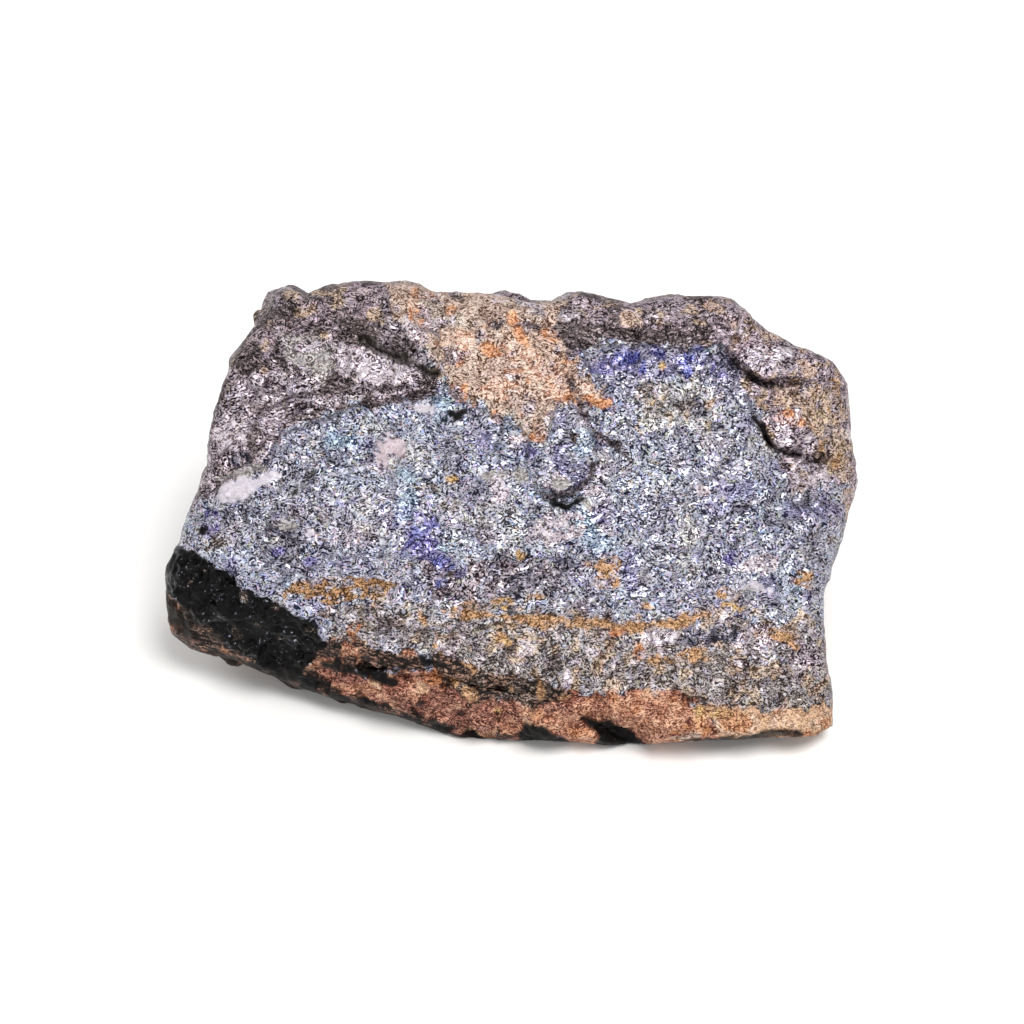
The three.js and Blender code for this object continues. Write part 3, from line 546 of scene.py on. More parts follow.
# Spots on the broad face, laid after the areas: s, t, half widths along and across, and the turn
# in degrees where there is one.
SPOTS = {
    "silver tarnish": [(-21.5, -21.5, 2.9, 2.1), (-12, -17.5, 2.2, 3.6)],
    # the dusky spots at (8.5, 3), (5, 1) and (10, -9), under the centre knob, are painted shadow
    "dusky tarnish": [
        (-39, -5.5, 4.5, 3, -20), (-48.5, -1, 1.5, 2), (-10, 16, 2, 0.7, 15), (8.5, 3, 3.5, 1, 12),
        (5, 1, 3, 0.7), (10, -9, 3.5, 1.7), (3.5, 9.5, 1.2, 1.7), (35, -1.5, 1.2, 0.8),
        (39, 0.5, 2.4, 0.8, 22), (43, 2, 2, 0.8), (52.5, 2.5, 2.4, 1.2, -10), (33, -21, 4.5, 2, 10),
        (35.5, 20.5, 0.9, 1.6), (31.5, 17.5, 2, 1.6), (42, -15.5, 3, 1.2), (-46, 9, 1.3, 0.8),
        (-35, 5, 3.5, 1.5, -45), (46, -2, 3, 1.4, -20)],
    "umber brow": [
        (25, 31, 1.7, 1), (29.5, 29, 1.6, 1.5), (21, 29.5, 2.1, 1.2), (32, 37, 2.2, 0.8),
        (-2, 32, 1.6, 1.1), (3, 31.5, 1.5, 1.7), (-11, 32, 0.8, 0.6), (-11, 37.5, 1.9, 0.7),
        (7, -25.5, 1.2, 1), (11.5, 12.5, 1.5, 0.8)],
    "violet tarnish": [
        (-15, -3, 4, 2.5, 10), (-16, -6, 4, 2.5, 30), (-11.5, -8.5, 3.5, 2, -30), (-34, -8, 1.2, 0.9),
        (-40, -6.5, 1, 0.8), (-51.5, -1.5, 1.5, 2), (15.5, -0.5, 2, 1.8), (2.5, 10, 1.8, 1.6),
        (37.5, -8, 1.2, 1.2), (-29.5, -9, 1.3, 0.8), (-52, -2, 1, 0.8), (15.5, 24.5, 2, 1.4)],
    "cobalt tarnish": [
        (19.5, 26.5, 1.8, 1.9), (14.5, 25, 1.2, 1), (22, 24.5, 1.3, 1.2), (25, 26.5, 1.2, 1),
        (28.5, 26, 1.8, 1.4), (30, 23.5, 1, 1.3), (32, 26.5, 1.2, 1.2), (37, 20.5, 1.2, 0.7),
        (-15, -2.5, 2.3, 1.3, 10), (-16.5, -5.3, 1.2, 0.9, 30), (-11.5, -8.5, 1.4, 1, -30),
        (-12.5, -12, 1.2, 0.7)],
    "cyan tarnish": [(-18, -6.8, 0.9, 0.8), (-11, 23, 1.1, 0.7)],
    "pale pink bornite": [
        (8, -2.5, 4.3, 2.7, 10), (-2.5, 4, 1.5, 1.8), (7.5, 5, 2.6, 1.6, -20), (13.5, 3.5, 1.8, 1),
        (42.5, -9, 3.4, 1.8, 10), (32.5, 4, 1.3, 1.2), (11, 33.5, 2, 1), (-9, -22, 1.2, 1.2),
        (52, 6.5, 4, 2, -20), (38.5, 30.5, 1.5, 1), (25.5, -21.5, 3.5, 1.5), (-48, 13, 3.5, 3, 30)],
    "pink bornite": [(42, -22, 3.4, 2.7), (51, -25, 4.2, 2.5, -30)],
    "olive rock": [
        (28, 18, 4, 1.5, 10), (-15, 4, 1.6, 0.8), (-10.5, 0.5, 1.4, 1), (-21.5, -13.5, 2.6, 1.5),
        (55, -4.5, 1.5, 1), (-52.5, -5, 3, 1.8), (24, 20.5, 3, 1.2, 20), (-9, -11, 2.5, 1.2)],
    "apricot slab": [
        (7, 22.5, 5.5, 2.8, -25), (12.5, 20.4, 3.4, 1.6, -20), (2, 27, 3, 2, -30), (-2, 21, 3, 2),
        (-9, 29, 2.5, 1.6)],
    "orange stain": [
        (-16.5, 34, 0.8, 2.9), (1, 31.5, 1.2, 2.5, 30), (6.5, 30.5, 1.8, 1.2), (-4, 27, 1.6, 1, 10),
        (9, 19.7, 3, 1.2, -30), (15, 18.5, 2.4, 1, -20), (-8, 19.5, 1, 2), (4.5, 12.5, 1.2, 0.7),
        (-10.5, 34, 0.8, 1), (-13, 37.5, 1.5, 0.6), (47.5, 16, 1.8, 1.1, -30)],
    "brown rust": [(-31, -13.2, 5.5, 2, 6), (-26, -12.6, 4.5, 1.5)],
    "orange rust": [
        (31, -37, 2.4, 1.5), (-13, -28.5, 2, 1, -20), (18, -19.7, 2, 1), (-27, -20.5, 0.7, 1.6, -20),
        (22, -24, 1.2, 1.4)],
    "peach slab": [
        (46, 19.5, 1.6, 1.7), (52.5, 21.5, 1.6, 1, -20), (55, 20, 0.9, 0.8), (52, 15.5, 1.2, 1),
        (53.5, 10, 1.1, 0.9), (57.5, 9, 0.8, 0.8), (58, 5.5, 1.2, 1.2), (20, 32.5, 1.7, 1.8, -40),
        (35, 35, 1.8, 1.2, -35), (19.5, 36.5, 1.5, 0.8, -10), (33.5, 18.5, 1, 1.3, -20),
        (30, -39, 1.5, 0.8), (50.5, 24.5, 1.7, 1, -30), (58.5, 3, 0.9, 2.6), (-37, 37.5, 0.8, 0.8)],
    "ochre rust": [
        (-23.5, -16, 0.9, 0.8), (-15.5, -17.5, 1.1, 2, 20), (-13, -23, 1.2, 1.2),
        (-7.5, -17, 1.8, 1.1, -10), (-4, -15.5, 4, 0.9, 8), (6, -18.5, 3.5, 1.1, -4),
        (11, -18.8, 5, 1.1, -3), (22, -19.5, 4, 0.9, 2), (29, -18.3, 4, 1, 15), (45, -21, 3.6, 1.2, -15),
        (16, -8.5, 2.8, 1.3), (16.5, -12, 2, 1.1), (50.5, -11.5, 1.5, 1.3), (28.5, -25, 4.6, 1.2),
        (38, -34.5, 4, 0.8, -8), (-1, -22, 1.8, 1.1, -40), (23, -16, 3, 0.9), (4, -14.5, 2, 0.8),
        (36, -14, 2, 0.9)],
    "yellow ochre": [
        (-1, -15, 1.3, 0.8), (1.5, -7.5, 0.8, 0.8), (25, 24.5, 0.5, 0.8), (23.5, 18.5, 0.5, 0.5),
        (-2, -34, 1.1, 0.8, 20), (-10, 5.5, 0.9, 0.7), (32.5, -34, 2.6, 1, -12), (37, -16.5, 1.7, 0.9),
        (-1, -22, 1, 0.8)],
    "grey quartz": [
        (-38.5, -2, 2, 0.8), (-32, -1, 1, 1.2), (-3.5, 6.5, 1.6, 1.1), (1.5, 6.5, 1, 1), (8.5, 4.5, 1.5, 1),
        (13, 1.5, 1.1, 1.1), (35, 2.5, 1.5, 0.9), (40.5, -13.5, 1.8, 1.1), (-20, 8, 1, 1)],
    "white quartz": [(-34.5, -3.5, 1, 1), (-14, 17.5, 2, 1, -30), (41.5, -12.5, 2.2, 0.9, -20)],
    "rosy quartz": [(-20.8, 11, 2.5, 2.8), (-21.5, 8.5, 1.6, 1.7)],
    # black spots in cracks, under ledges and along the foot are painted shadow
    "black rock and painted shadow": [
        (-15.5, -25.5, 4, 0.9, 6), (-25, -27.8, 5.5, 0.8, -15), (32.5, -40, 3.5, 0.7),
        (-5.5, 15.5, 0.7, 1.6), (-53, -3.3, 0.9, 0.8), (-10, 16.3, 2.2, 0.6, 18),
        (42.6, 14.5, 0.7, 1.8, -30)],
}
# Seams, laid last: look, half width, line. The dark seams in the cracks, under the centre knob, under the
# ledges of the terraces, the brow and the foliated rock, and along the foot are painted shadow; the ochre
# line is the stone's own rust.
SEAMS = [
    ("green black crack shadow", 0.8, CRACKS["green crack"][2]),
    ("black rock and painted shadow", 0.38, CRACKS["upper right crack"][2]),
    ("black rock and painted shadow", 0.38, CRACKS["lower right crack"][2]),
    ("umber brow", 0.3, CRACKS["crack below the centre knob"][2]),
    ("umber brow", 0.4, CRACKS["seam down from the rusty slab"][2]),
    ("green black crack shadow", 0.35, [(-37.5, 3), (-35.5, 5), (-33.5, 7)]),
    ("black rock and painted shadow", 0.5, [(12, 2.2), (9.5, 1.3), (7, 1.8)]),
    ("dusky tarnish", 0.6, [(34, -1.5), (37, -0.5), (41, 2), (44.5, 2)]),
    ("umber brow", 0.4, [(-49, 6.5), (-45, 8.5), (-41, 13), (-37, 16), (-29, 18), (-21, 19), (-14, 20.5)]),
    ("ochre rust", 0.4, [
        (-8.5, -17), (0.5, -18), (5, -18), (13.5, -19), (19, -19.5), (26, -19), (33.5, -17.5)]),
    ("black rock and painted shadow", 0.6, [(-32, -26), (-28, -27.5), (-24, -28.5), (-20, -29.3)]),
    ("black rock and painted shadow", 0.7, [(34, -39.2), (40, -38.8), (46, -37.8), (49, -38)]),
    ("umber brow", 0.4, [(8.5, 30.5), (15.5, 31.5), (24, 30), (31, 29)]),
]

# Tarnish on the broad face, under its areas, as patches of smooth noise: look, wavelength, the
# noise above which it shows, seed.
FACE_PATCHES = [
    ("silver tarnish", 9, 0.05, 70), ("lilac tarnish", 7, 0.12, 71), ("dusky tarnish", 5, 0.6, 72),
    ("pink bornite", 4, 0.5, 73), ("olive white rock", 5, 0.5, 74), ("cyan tarnish", 6, 0.6, 75),
    ("violet tarnish", 4, 0.6, 76),
]
# What lies round the sides, back and underside, in the same way.
BACK_PATCHES = [
    ("dusky tarnish", 17, 0.05, 60), ("mauve brow", 14, 0.12, 61), ("olive rock", 16, 0.2, 62),
    ("umber brow", 11, 0.3, 63), ("violet tarnish", 9, 0.6, 64), ("tan stain", 12, 0.45, 65),
    ("ochre rust", 7, 0.65, 66), ("grey quartz", 6, 0.85, 67), ("pink bornite", 8, 0.6, 68),
]
# Patches and dapples: how far they cover, how far their edge reaches each side of their level,
# and how ragged it is.
FACE_PATCH, DAPPLE, BACK_PATCH = (0.55, 0.2, 0.3), (0.85, 0.06, 0.5), (0.85, 0.08, 0.35)
EDGE_HALF = 0.2  # half the width of the edge of an area, spot or seam
WEAR_EDGE = 0.15  # rise of the wear noise from whole cover to worn cover
SPOT_SHARE, SPOT_RAG = 0.25, 0.9  # cover left where a spot is worn, and how ragged its edge is
SEAM_SHARE, SEAM_RAG = 0.8, 0.4
LAYER_TURN = np.radians(-12)  # the layers of the foot run down to the right along the face
RELIEF_SHADE_TONE = 0.12  # painted shade and painted highlight: how much darker the hollows of the fine relief are painted, and its raised edges brighter
RELIEF_SHADE_FULL = 0.4  # height of the fine relief at which that is full
RUST_HEIGHT = 15  # the rusty foot goes about this far up the sides and back, above the bench
RUST_WAVES = [(9, 20, 90), (4, 7, 93)]  # how its upper edge rises and falls: height, size, seed
# What mottles it: look, share, wavelength, the noise where it starts and where it is full, seed.
RUST_MOTTLES = [("red brown rock", 0.9, 8, -0.1, 0.2, 91), ("rusty rock", 0.8, 5, 0.2, 0.5, 92)]
FACE_FADE = (0.87, 0.97)  # share of the way out where the face's looks start and end round the side
# Facets of the hackly break: share, width, tilt, step, seed, crispness.
FINE_FACETS = [(0.6, 3.4, 1.1, 0.28, 110, 24), (0.8, 1.5, 0.5, 0.14, 120, 20)]
GRAIN_SIZE, GRAIN_RELIEF = 0.8, 0.07
GROOVE_SIZE, GROOVE_DEPTH, GROOVE_SHARPNESS = 5, 0.35, 10
LAYER_SIZE, LAYER_RELIEF = (9, 1.4, 2), 0.45  # along the layers, across them, and into the stone
FINE_RIM = 0.2  # share of the fine relief at the contour
FINE_FADE = (0.94, 0.7)  # share of the way out where it starts to fade, on the face and the back


def linear(hex_colour):
    """An sRGB hex colour as linear red, green and blue: ((c + 0.055) / 1.055)^2.4, or c / 12.92
    where c is small."""
    c = np.array([int(hex_colour[k:k + 2], 16) / 255 for k in (0, 2, 4)])
    return np.where(c <= 0.04045, c / 12.92, ((c + 0.055) / 1.055) ** 2.4)


LOOK_ROWS = {name: np.concatenate([linear(tone) for tone in row[:3]] + [np.array(row[3:])])
             for name, row in LOOKS.items()}
METALLIC, BIAS, STREAK, RELIEF = 9, 12, 13, 15  # where these stand in a look's row


def lay(paint, look, cover):
    """Blends a look over the paint by its cover at each point: paint + cover (look - paint)."""
    paint += cover[:, None] * (LOOK_ROWS[look] - paint)


def lay_above(paint, look, cover, level, value, spill, patch):
    """Lays a look where the value, made ragged by the spill, is above its level: the patch's
    share of the cover, over the patch's edge to each side of the level."""
    share, edge, rag = patch
    lay(paint, look, share * cover * smooth_step(level - edge, level + edge, value + rag * spill))


def ragged(points, seed):
    """Ragged offset for the edges of patches: noise of 2.4 mm, half as much of 1.1 mm and a
    quarter of 0.6 mm."""
    return (noise(points / 2.4, seed) + 0.5 * noise(points / 1.1, seed + 1)
            + 0.25 * noise(points / 0.6, seed + 2))


def cover_of(depth, share, rag, spill, wear):
    """Cover from the depth inside an outline: an edge moved in and out by the ragged offset,
    and where the wear noise is high, only the share is left."""
    edge = smooth_step(-EDGE_HALF, EDGE_HALF, depth + rag * spill)
    return edge * (1 - (1 - share) * smooth_step(0, WEAR_EDGE, wear))


def paint_stone(points, out, is_front):
    """The look of each point: tarnish patches under everything, then the face's areas, spots
    and seams. Behind the contour they fade into the patches of the back, which has the rusty
    foot below a height that rises and falls by noise."""
    s, t = points[:, 0], points[:, 1]
    spill = ragged(points, 40)
    # areas and seams are worn through in places about 1.9 mm and 0.8 mm wide
    wear = noise(points / 1.9, 50) + 0.6 * noise(points / 0.8, 51)
    face = np.tile(LOOK_ROWS["steel blue tarnish"], (len(points), 1))
    for look, size, level, seed in FACE_PATCHES:
        lay_above(face, look, 1, level, noise(points / size, seed), spill, FACE_PATCH)
    for k, (look, share, rag, outline, dapples) in enumerate(AREAS):
        cover = cover_of(depth_inside(s, t, outline), share, rag, spill, wear)
        lay(face, look, cover)
        for m, (dapple, size, level) in enumerate(dapples):
            value = noise(points / size, 140 + 7 * k + m)
            lay_above(face, dapple, cover, level, value, spill, DAPPLE)
    for k, (look, spots) in enumerate(SPOTS.items()):
        depth = np.full(len(points), -9.0)
        for spot in spots:
            size = min(spot[2], spot[3])
            depth = np.maximum(depth, (1 - reach_of_ellipse(s, t, *spot)) * size)
        # each look's spots break up in a finer noise of their own
        turned = points[:, [1, 2, 0]] + 7 * k
        flecked = noise(turned / 1.3, 52) + 0.6 * noise(turned / 0.6, 53)
        lay(face, look, cover_of(depth, SPOT_SHARE, SPOT_RAG, ragged(turned, 41), flecked))
    for look, half, line in SEAMS:
        depth = half - distance_to_line(s, t, line)
        lay(face, look, cover_of(depth, SEAM_SHARE, SEAM_RAG, spill, wear))

    height = to_bench(points)[:, 2]
    back = np.tile(LOOK_ROWS["mauve bornite"], (len(points), 1))
    for look, size, level, seed in BACK_PATCHES:
        value = noise(points / size, seed) + 0.35 * noise(points / size * 2, seed + 20)
        lay_above(back, look, 1, level, value, spill, BACK_PATCH)
    rust = RUST_HEIGHT - height
    for reach, size, seed in RUST_WAVES:
        rust = rust + reach * noise(points / size, seed)
    rusty = smooth_step(-2, 2, rust + 3 * spill)
    lay(back, "foliated rock", 0.9 * rusty)
    for look, share, size, low, high, seed in RUST_MOTTLES:
        lay(back, look, share * rusty * smooth_step(low, high, noise(points / size, seed)))
    front = np.where(is_front, 1, smooth_step(*FACE_FADE, out + 0.02 * spill))
    return back + front[:, None] * (face - back)


# ---------- The dressed stone ----------
def coarse_relief(points, out, is_front):
    """The CAD solid's own relief: rolling noise and broken facets, less of it on the face and
    less again at the contour."""
    rolling = noise(points / LUMP_SIZE, 1) + 0.4 * noise(2 * points / LUMP_SIZE, 2)
    broken = hackle(points / HACKLE_SIZE, HACKLE_TILT * HACKLE_SIZE, HACKLE_STEP, 10)
    inner = np.where(is_front, FACE_RELIEF, 1)
    share = RIM_RELIEF + (inner - RIM_RELIEF) * smooth_step(1, RIM_START, out)
    return share * (LUMP_HEIGHT * rolling + broken)


def fine_relief(points, paint, out, is_front):
    """Hackly fracture: crisp facets of two widths, grain, thin wandering grooves where a noise
    crosses zero, and in layered rock, ridges along the layers. Quartz takes little of it, and so
    does the contour, where the stone broke clean."""
    bent = points + 1.2 * np.stack([noise(points / 4, seed) for seed in (100, 101, 102)], axis=1)
    facets = sum(share * hackle(bent / width, *rest) for share, width, *rest in FINE_FACETS)
    grain = GRAIN_RELIEF * noise(points / GRAIN_SIZE, 130)
    zero = np.abs(noise(bent / GROOVE_SIZE, 131) + 0.5 * noise(bent / 2.2, 132))
    groove = -GROOVE_DEPTH * (1 - zero) ** GROOVE_SHARPNESS
    cos, sin = np.cos(LAYER_TURN), np.sin(LAYER_TURN)
    along, across = bent[:, 0] * cos + bent[:, 1] * sin, bent[:, 1] * cos - bent[:, 0] * sin
    layers = noise(np.stack([along, across, bent[:, 2]], axis=1) / LAYER_SIZE, 133)
    ridges = LAYER_RELIEF * paint[:, STREAK] * layers
    rim = FINE_RIM + (1 - FINE_RIM) * smooth_step(1, np.where(is_front, *FINE_FADE), out)
    return rim * (paint[:, RELIEF] * (facets + grain + groove) + ridges)


def dressed_stone():
    """The finished mesh: skin, coarse relief along the normals, fine relief along the new
    normals, then on to the bench."""
    points, triangles, out, is_front = skin_mesh()
    normals = vertex_normals(points, triangles)
    points = points + normals * coarse_relief(points, out, is_front)[:, None]
    paint = paint_stone(points, out, is_front)
    normals = vertex_normals(points, triangles)
    relief = fine_relief(points, paint, out, is_front)
    points = points + normals * relief[:, None]
    # painted shade darkens the hollows of the fine relief, and painted highlight brightens its raised edges
    paint[:, BIAS] += RELIEF_SHADE_TONE * np.clip(relief / RELIEF_SHADE_FULL, -1, 1)
    points = seat_on_bench(to_bench(points)) * MM

    mesh = bpy.data.meshes.new("bornite_specimen")
    mesh.vertices.add(len(points))
    mesh.vertices.foreach_set("co", points.astype(np.float32).ravel())
    mesh.loops.add(triangles.size)
    mesh.loops.foreach_set("vertex_index", triangles.astype(np.int32).ravel())
    mesh.polygons.add(len(triangles))
    mesh.polygons.foreach_set("loop_start", np.arange(0, triangles.size, 3, dtype=np.int32))
    mesh.polygons.foreach_set("use_smooth", np.ones(len(triangles), bool))
    for name, first in (("tone_dark", 0), ("tone_mid", 3), ("tone_bright", 6),
                        ("finish", METALLIC), ("grain", BIAS)):
        layer = mesh.attributes.new(name, "FLOAT_COLOR", "POINT")
        values = np.ones((len(points), 4), np.float32)
        values[:, :3] = paint[:, first:first + 3]
        layer.data.foreach_set("color", values.ravel())
    mesh.update(calc_edges=True)
    mesh.validate()
    stone = bpy.data.objects.new("bornite_specimen", mesh)
    bpy.context.scene.collection.objects.link(stone)
    return stone


# ---------- Materials ----------
def add(tree, kind, links=(), **settings):
    """Adds a shader node, makes its settings, and links or sets its inputs, given as (socket,
    value). A node as a value stands for its first output."""
    made = tree.nodes.new("ShaderNode" + kind)
    for name, value in settings.items():
        setattr(made, name, value)
    for socket, value in links:
        if isinstance(value, bpy.types.Node):
            value = value.outputs[0]
        if isinstance(value, bpy.types.NodeSocket):
            tree.links.new(value, made.inputs[socket])
        else:
            made.inputs[socket].default_value = value
    return made


# The grain of the break. Each scale is one over the size in millimetres.
SWIRL_SCALE, SWIRL_REACH = 0.16, 3.5  # how far the swirl carries the grain, in millimetres
RAG_SCALE, RAG_REACH = 1.8, 0.7  # how ragged the grain's outlines are
BLOT_SCALE = 0.6  # brighter and dimmer blots of flecks
SEAM_DRAW = (0.95, 1.7, 1.7)  # seams run longer along the stone than across it
SEAM_SETS = ((0.5, 7.0, 0.0), (1.3, 3.0, 0.25))  # scale, how many lines the noise crosses, shift
SEAM_HALF = (0.24, 0.155)  # half width in a dim blot and in a bright one, as a share of the gap
SEAM_CORE = 0.07  # half width of a seam's darkest part
SEAM_DEPTH = 1.2  # how much tone a seam takes away
LAYER_SCALE, LAYER_DRAW, LAYER_BEND = 1.4, (0.22, 1.5, 1.5), 1.5  # the bend is in millimetres
GLINT_SCALE = 3.0  # size of the painted glints, cells painted bright where cleavage faces would catch the light
CELL_SCALE = 1.9  # cells that share one hue and gloss
GRAIN_HEIGHT = 0.0002  # from the darkest seam to the brightest fleck, in metres
# share of the usual mirror reflection that a hackly, porous break gives back; pits trap the rest
POROUS_GLOSS = 0.2
# hues of the flecks, each from its share of the cells: lilac, pale blue, pale yellow-green,
# pink, tan, grey-violet
FLECK_HUES = [(0.0, "c4b6ee"), (0.18, "b4cdf2"), (0.36, "dde2b6"), (0.46, "eec8d6"),
              (0.62, "dfc4a0"), (0.7, "ccc8dc")]


def bornite_ore():
    """Massive bornite with quartz, iron stain and host rock, broken and left to tarnish.

    Fresh bornite is a coppery metal that tarnishes within weeks to a film of blue, violet and
    mauve. It breaks in a fine hackly fracture, so the eye sees bright flecks under a millimetre
    wide between dark wandering seams, and the flecks turn hue from one to the next. The quartz
    is glassy and pale, the iron stain is matt and the black mineral glints."""
    material = bpy.data.materials.new("tarnished_bornite_ore")
    material.use_nodes = True
    tree = material.node_tree
    tree.nodes.clear()
    # place on the stone in millimetres, and what paint_stone laid there
    place = add(tree, "TexCoord").outputs["Object"]
    place = add(tree, "VectorMath", [(0, place), (1, (1 / MM,) * 3)], operation="MULTIPLY")
    dark, mid, bright, finish, grain = [
        add(tree, "Attribute", attribute_name=name)
        for name in ("tone_dark", "tone_mid", "tone_bright", "finish", "grain")]
    metallic, rough, crumple = add(tree, "SeparateColor", [(0, finish)]).outputs
    bias, streak, flecks = add(tree, "SeparateColor", [(0, grain)]).outputs

    # the grain is turned from place to place by a swirl of about 6 mm
    swirl = add(tree, "TexNoise", [("Vector", place), ("Scale", SWIRL_SCALE), ("Detail", 2.0)])
    swirl = add(tree, "VectorMath", [(0, swirl.outputs["Color"]), (1, (0.5,) * 3)], operation="SUBTRACT")
    swept = add(tree, "VectorMath", [
        (0, swirl), (1, (SWIRL_REACH,) * 3), (2, place)], operation="MULTIPLY_ADD")

    # the grain's outlines are ragged at about 0.5 mm
    rags = add(tree, "TexNoise", [("Vector", swept), ("Scale", RAG_SCALE), ("Detail", 2.0)])
    rags = add(tree, "VectorMath", [(0, rags.outputs["Color"]), (1, (0.5,) * 3)], operation="SUBTRACT")
    rags = add(tree, "VectorMath", [
        (0, rags), (1, (RAG_REACH,) * 3), (2, swept)], operation="MULTIPLY_ADD")
    blot = add(tree, "TexNoise", [
        ("Vector", swept), ("Scale", BLOT_SCALE), ("Detail", 2.0), ("Roughness", 0.6)])

    # dark seams between the flecks, partly the ore's own dark lines and partly painted shade of the hackly
    # break, follow the contour lines of two noises, so they run side by side and wander, 0.2 to 0.7 mm
    # apart; they swell and thin
    width = add(tree, "MapRange", [
        ("Value", blot), ("From Min", 0.4), ("From Max", 0.6),
        ("To Min", SEAM_HALF[0]), ("To Max", SEAM_HALF[1])])
    drawn = add(tree, "VectorMath", [(0, rags), (1, SEAM_DRAW)], operation="MULTIPLY")
    seams = []
    for scale, lines, shift in SEAM_SETS:
        wander = add(tree, "TexNoise", [("Vector", drawn), ("Scale", scale), ("Detail", 1.0)])
        wander = add(tree, "Math", [(0, wander), (1, lines), (2, shift)], operation="MULTIPLY_ADD")
        away = add(tree, "Math", [(0, wander), (1, 0.5)], operation="PINGPONG")
        seams.append(add(tree, "MapRange", [
            ("Value", away), ("From Min", SEAM_CORE), ("From Max", width),
            ("To Min", SEAM_DEPTH), ("To Max", 0.0)]))
    seam = add(tree, "Math", [(0, seams[0]), (1, seams[1])], operation="MAXIMUM")

    # how bright each fleck is, its own tone with painted highlight: 0 on the dark seams, 1 on the brightest
    tone = add(tree, "MapRange", [
        ("Value", blot), ("From Min", 0.3), ("From Max", 0.7), ("To Min", 0.68), ("To Max", 1.04)])
    # in layered rock the grain is drawn out 3 mm along the layers, and is 0.5 mm thick
    layered = add(tree, "VectorMath", [
        (0, swirl), (1, (LAYER_BEND,) * 3), (2, place)], operation="MULTIPLY_ADD")
    layered = add(tree, "VectorRotate", [
        ("Vector", layered), ("Axis", FACE_NORMAL), ("Angle", -float(LAYER_TURN))])
    layered = add(tree, "VectorMath", [(0, layered), (1, LAYER_DRAW)], operation="MULTIPLY")
    layered = add(tree, "TexNoise", [
        ("Vector", layered), ("Scale", LAYER_SCALE), ("Detail", 2.0), ("Roughness", 0.6)])
    layered = add(tree, "MapRange", [
        ("Value", layered), ("From Min", 0.42), ("From Max", 0.58), ("To Min", 0.0), ("To Max", 1.0)])
    tone = add(tree, "Mix", [(0, streak), (2, tone), (3, layered)])
    shade = add(tree, "Math", [(0, seam), (1, crumple)], operation="MULTIPLY")
    tone = add(tree, "Math", [(0, tone), (1, shade)], operation="SUBTRACT")
    tone = add(tree, "Math", [(0, tone), (1, bias)], operation="ADD")
    # painted glints: a few cells, 0.3 mm wide, are painted bright where cleavage faces would catch the
    # light
    glints = add(tree, "TexVoronoi", [("Vector", rags), ("Scale", GLINT_SCALE)]).outputs["Color"]
    glints = add(tree, "SeparateColor", [(0, glints)])
    glints = add(tree, "MapRange", [
        ("Value", glints), ("From Min", 0.94), ("From Max", 0.97), ("To Max", 0.5)])
    tone = add(tree, "Math", [(0, tone), (1, glints)], operation="ADD", use_clamp=True)
    # smooth minerals keep to their middle tone
    keep = add(tree, "MapRange", [("Value", crumple), ("From Max", 0.8), ("To Min", 0.1)])
    tone = add(tree, "Mix", [(0, keep), (2, 0.5), (3, tone)])

    low = add(tree, "MapRange", [("Value", tone), ("From Max", 0.5)])
    high = add(tree, "MapRange", [("Value", tone), ("From Min", 0.5)])
    colour = add(tree, "Mix", [(0, low), (6, dark), (7, mid)], data_type="RGBA").outputs[2]
    colour = add(tree, "Mix", [(0, high), (6, colour), (7, bright)], data_type="RGBA").outputs[2]

    # flecks of other tarnish hues, one to a grain cell of about 0.5 mm
    cells = add(tree, "TexVoronoi", [("Vector", rags), ("Scale", CELL_SCALE)]).outputs["Color"]
    which, amount, gloss = add(tree, "SeparateColor", [(0, cells)]).outputs
    ramp = add(tree, "ValToRGB", [(0, which)])
    ramp.color_ramp.interpolation = "CONSTANT"
    while len(ramp.color_ramp.elements) < len(FLECK_HUES):
        ramp.color_ramp.elements.new(0.5)
    for element, (position, hue) in zip(ramp.color_ramp.elements, FLECK_HUES):
        element.position = position
        element.color = (*linear(hue), 1)
    share = add(tree, "MapRange", [
        ("Value", amount), ("From Min", 0.4), ("From Max", 0.8), ("To Max", 0.75)])
    share = add(tree, "Math", [(0, share), (1, flecks)], operation="MULTIPLY")
    colour = add(tree, "Mix", [
        (0, share), (6, colour), (7, ramp)], data_type="RGBA", blend_type="MULTIPLY").outputs[2]

    # bright flecks stand proud of the dark seams
    height = add(tree, "Math", [(0, tone), (1, crumple)], operation="MULTIPLY")
    normal = add(tree, "Bump", [("Strength", 0.42), ("Distance", GRAIN_HEIGHT), ("Height", height)])
    gloss = add(tree, "MapRange", [("Value", gloss), ("To Min", -0.1), ("To Max", 0.1)])
    rough = add(tree, "Math", [(0, gloss), (1, rough)], operation="ADD")
    surface = add(tree, "BsdfPrincipled", [
        ("Base Color", colour), ("Metallic", metallic), ("Roughness", rough), ("Normal", normal),
        ("Specular IOR Level", POROUS_GLOSS)])
    add(tree, "OutputMaterial", [("Surface", surface)])
    return material


def plain_paint(name, hex_colour, roughness):
    """A matt studio board of one colour."""
    material = bpy.data.materials.new(name)
    material.use_nodes = True
    surface = material.node_tree.nodes["Principled BSDF"]
    surface.inputs["Base Color"].default_value = (*linear(hex_colour), 1)
    surface.inputs["Roughness"].default_value = roughness
    return material


# ---------- The piece, the floor, the lights and the camera ----------
stone = dressed_stone()
stone.data.materials.append(bornite_ore())
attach(stone, "root")
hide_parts("bornite_stone")

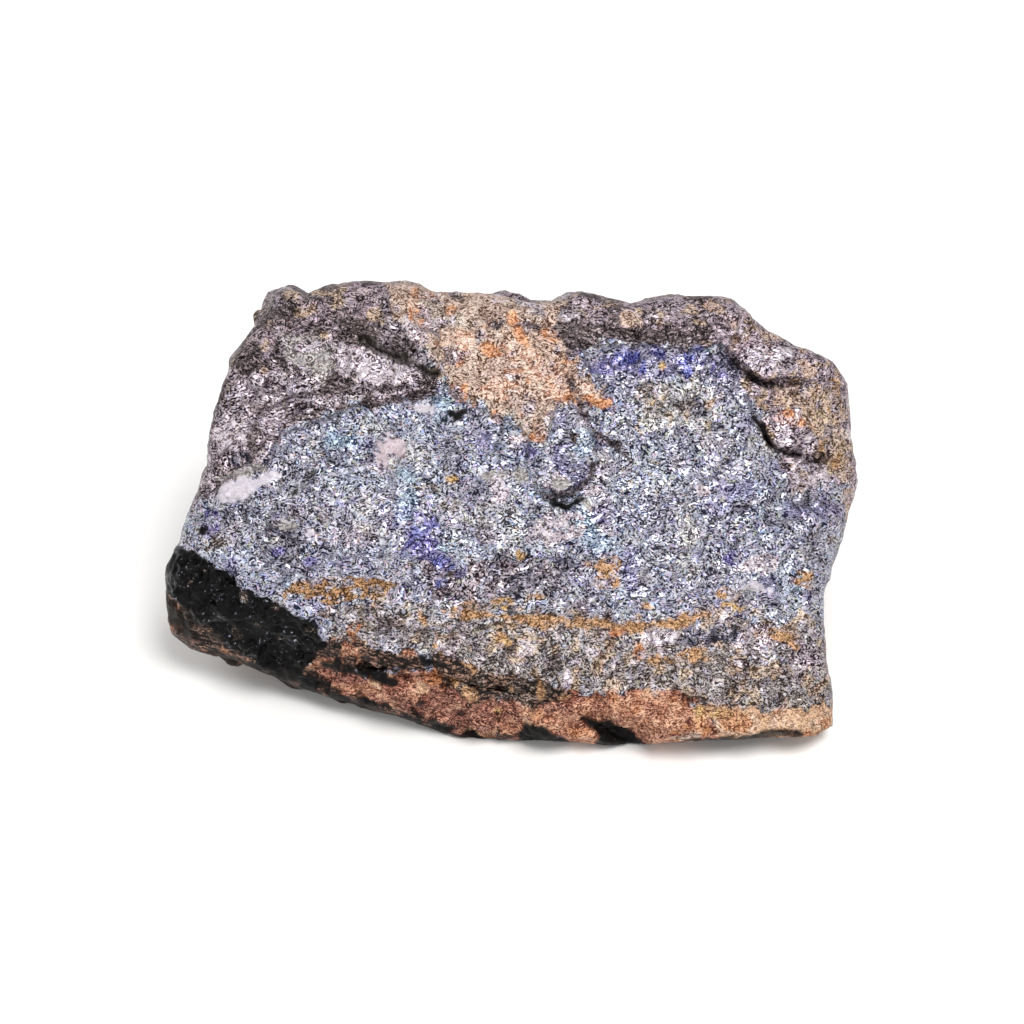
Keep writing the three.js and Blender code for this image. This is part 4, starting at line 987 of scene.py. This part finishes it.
FLOOR_HALF = 3.0  # in metres
floor_mesh = bpy.data.meshes.new("floor")
corners = ((-1, -1), (1, -1), (1, 1), (-1, 1))
floor_mesh.from_pydata([(x * FLOOR_HALF, y * FLOOR_HALF, 0) for x, y in corners], [], [(0, 1, 2, 3)])
floor = bpy.data.objects.new("floor", floor_mesh)
bpy.context.scene.collection.objects.link(floor)
floor.data.materials.append(plain_paint("matt_white_board", "f4f3f1", 0.8))


def softbox(name, at, size, power):
    """A square area light at a place, pointed at the stone: metres and watts."""
    light = bpy.data.lights.new(name, "AREA")
    light.size = size
    light.energy = power
    made = bpy.data.objects.new(name, light)
    made.location = at
    made.rotation_euler = (LIGHT_TARGET - Vector(at)).to_track_quat("-Z", "Y").to_euler()
    bpy.context.scene.collection.objects.link(made)


LIGHT_TARGET = Vector((0, 0, 0.03))
softbox("key_softbox", (0.18, -0.30, 0.75), 0.35, 6.2)
softbox("fill_softbox", (-0.5, -0.7, 0.35), 0.7, 2.3)
softbox("back_softbox", (-0.3, 0.6, 0.5), 0.5, 1.6)

ROOM_LIGHT = 0.48  # strength of the even white light from all round
world = bpy.data.worlds.new("studio")
world.use_nodes = True
world.node_tree.nodes["Background"].inputs[0].default_value = (1, 1, 1, 1)
world.node_tree.nodes["Background"].inputs[1].default_value = ROOM_LIGHT
bpy.context.scene.world = world
bpy.context.scene.view_settings.view_transform = "Standard"

CAMERA_DISTANCE = 493.9 * MM  # along the broad face's normal, which gives 0.174 mm to a pixel
LENS, SENSOR = 100, 36  # in millimetres
camera_data = bpy.data.cameras.new("camera")
camera_data.lens = LENS
camera_data.sensor_width = SENSOR
camera = bpy.data.objects.new("camera", camera_data)
face_middle = Vector((0, -FACE_FORWARD * MM, FACE_HEIGHT * MM))
camera.location = face_middle + CAMERA_DISTANCE * Vector(FACE_NORMAL)
camera.rotation_euler = (-Vector(FACE_NORMAL)).to_track_quat("-Z", "Y").to_euler()
bpy.context.scene.collection.objects.link(camera)
bpy.context.scene.camera = camera
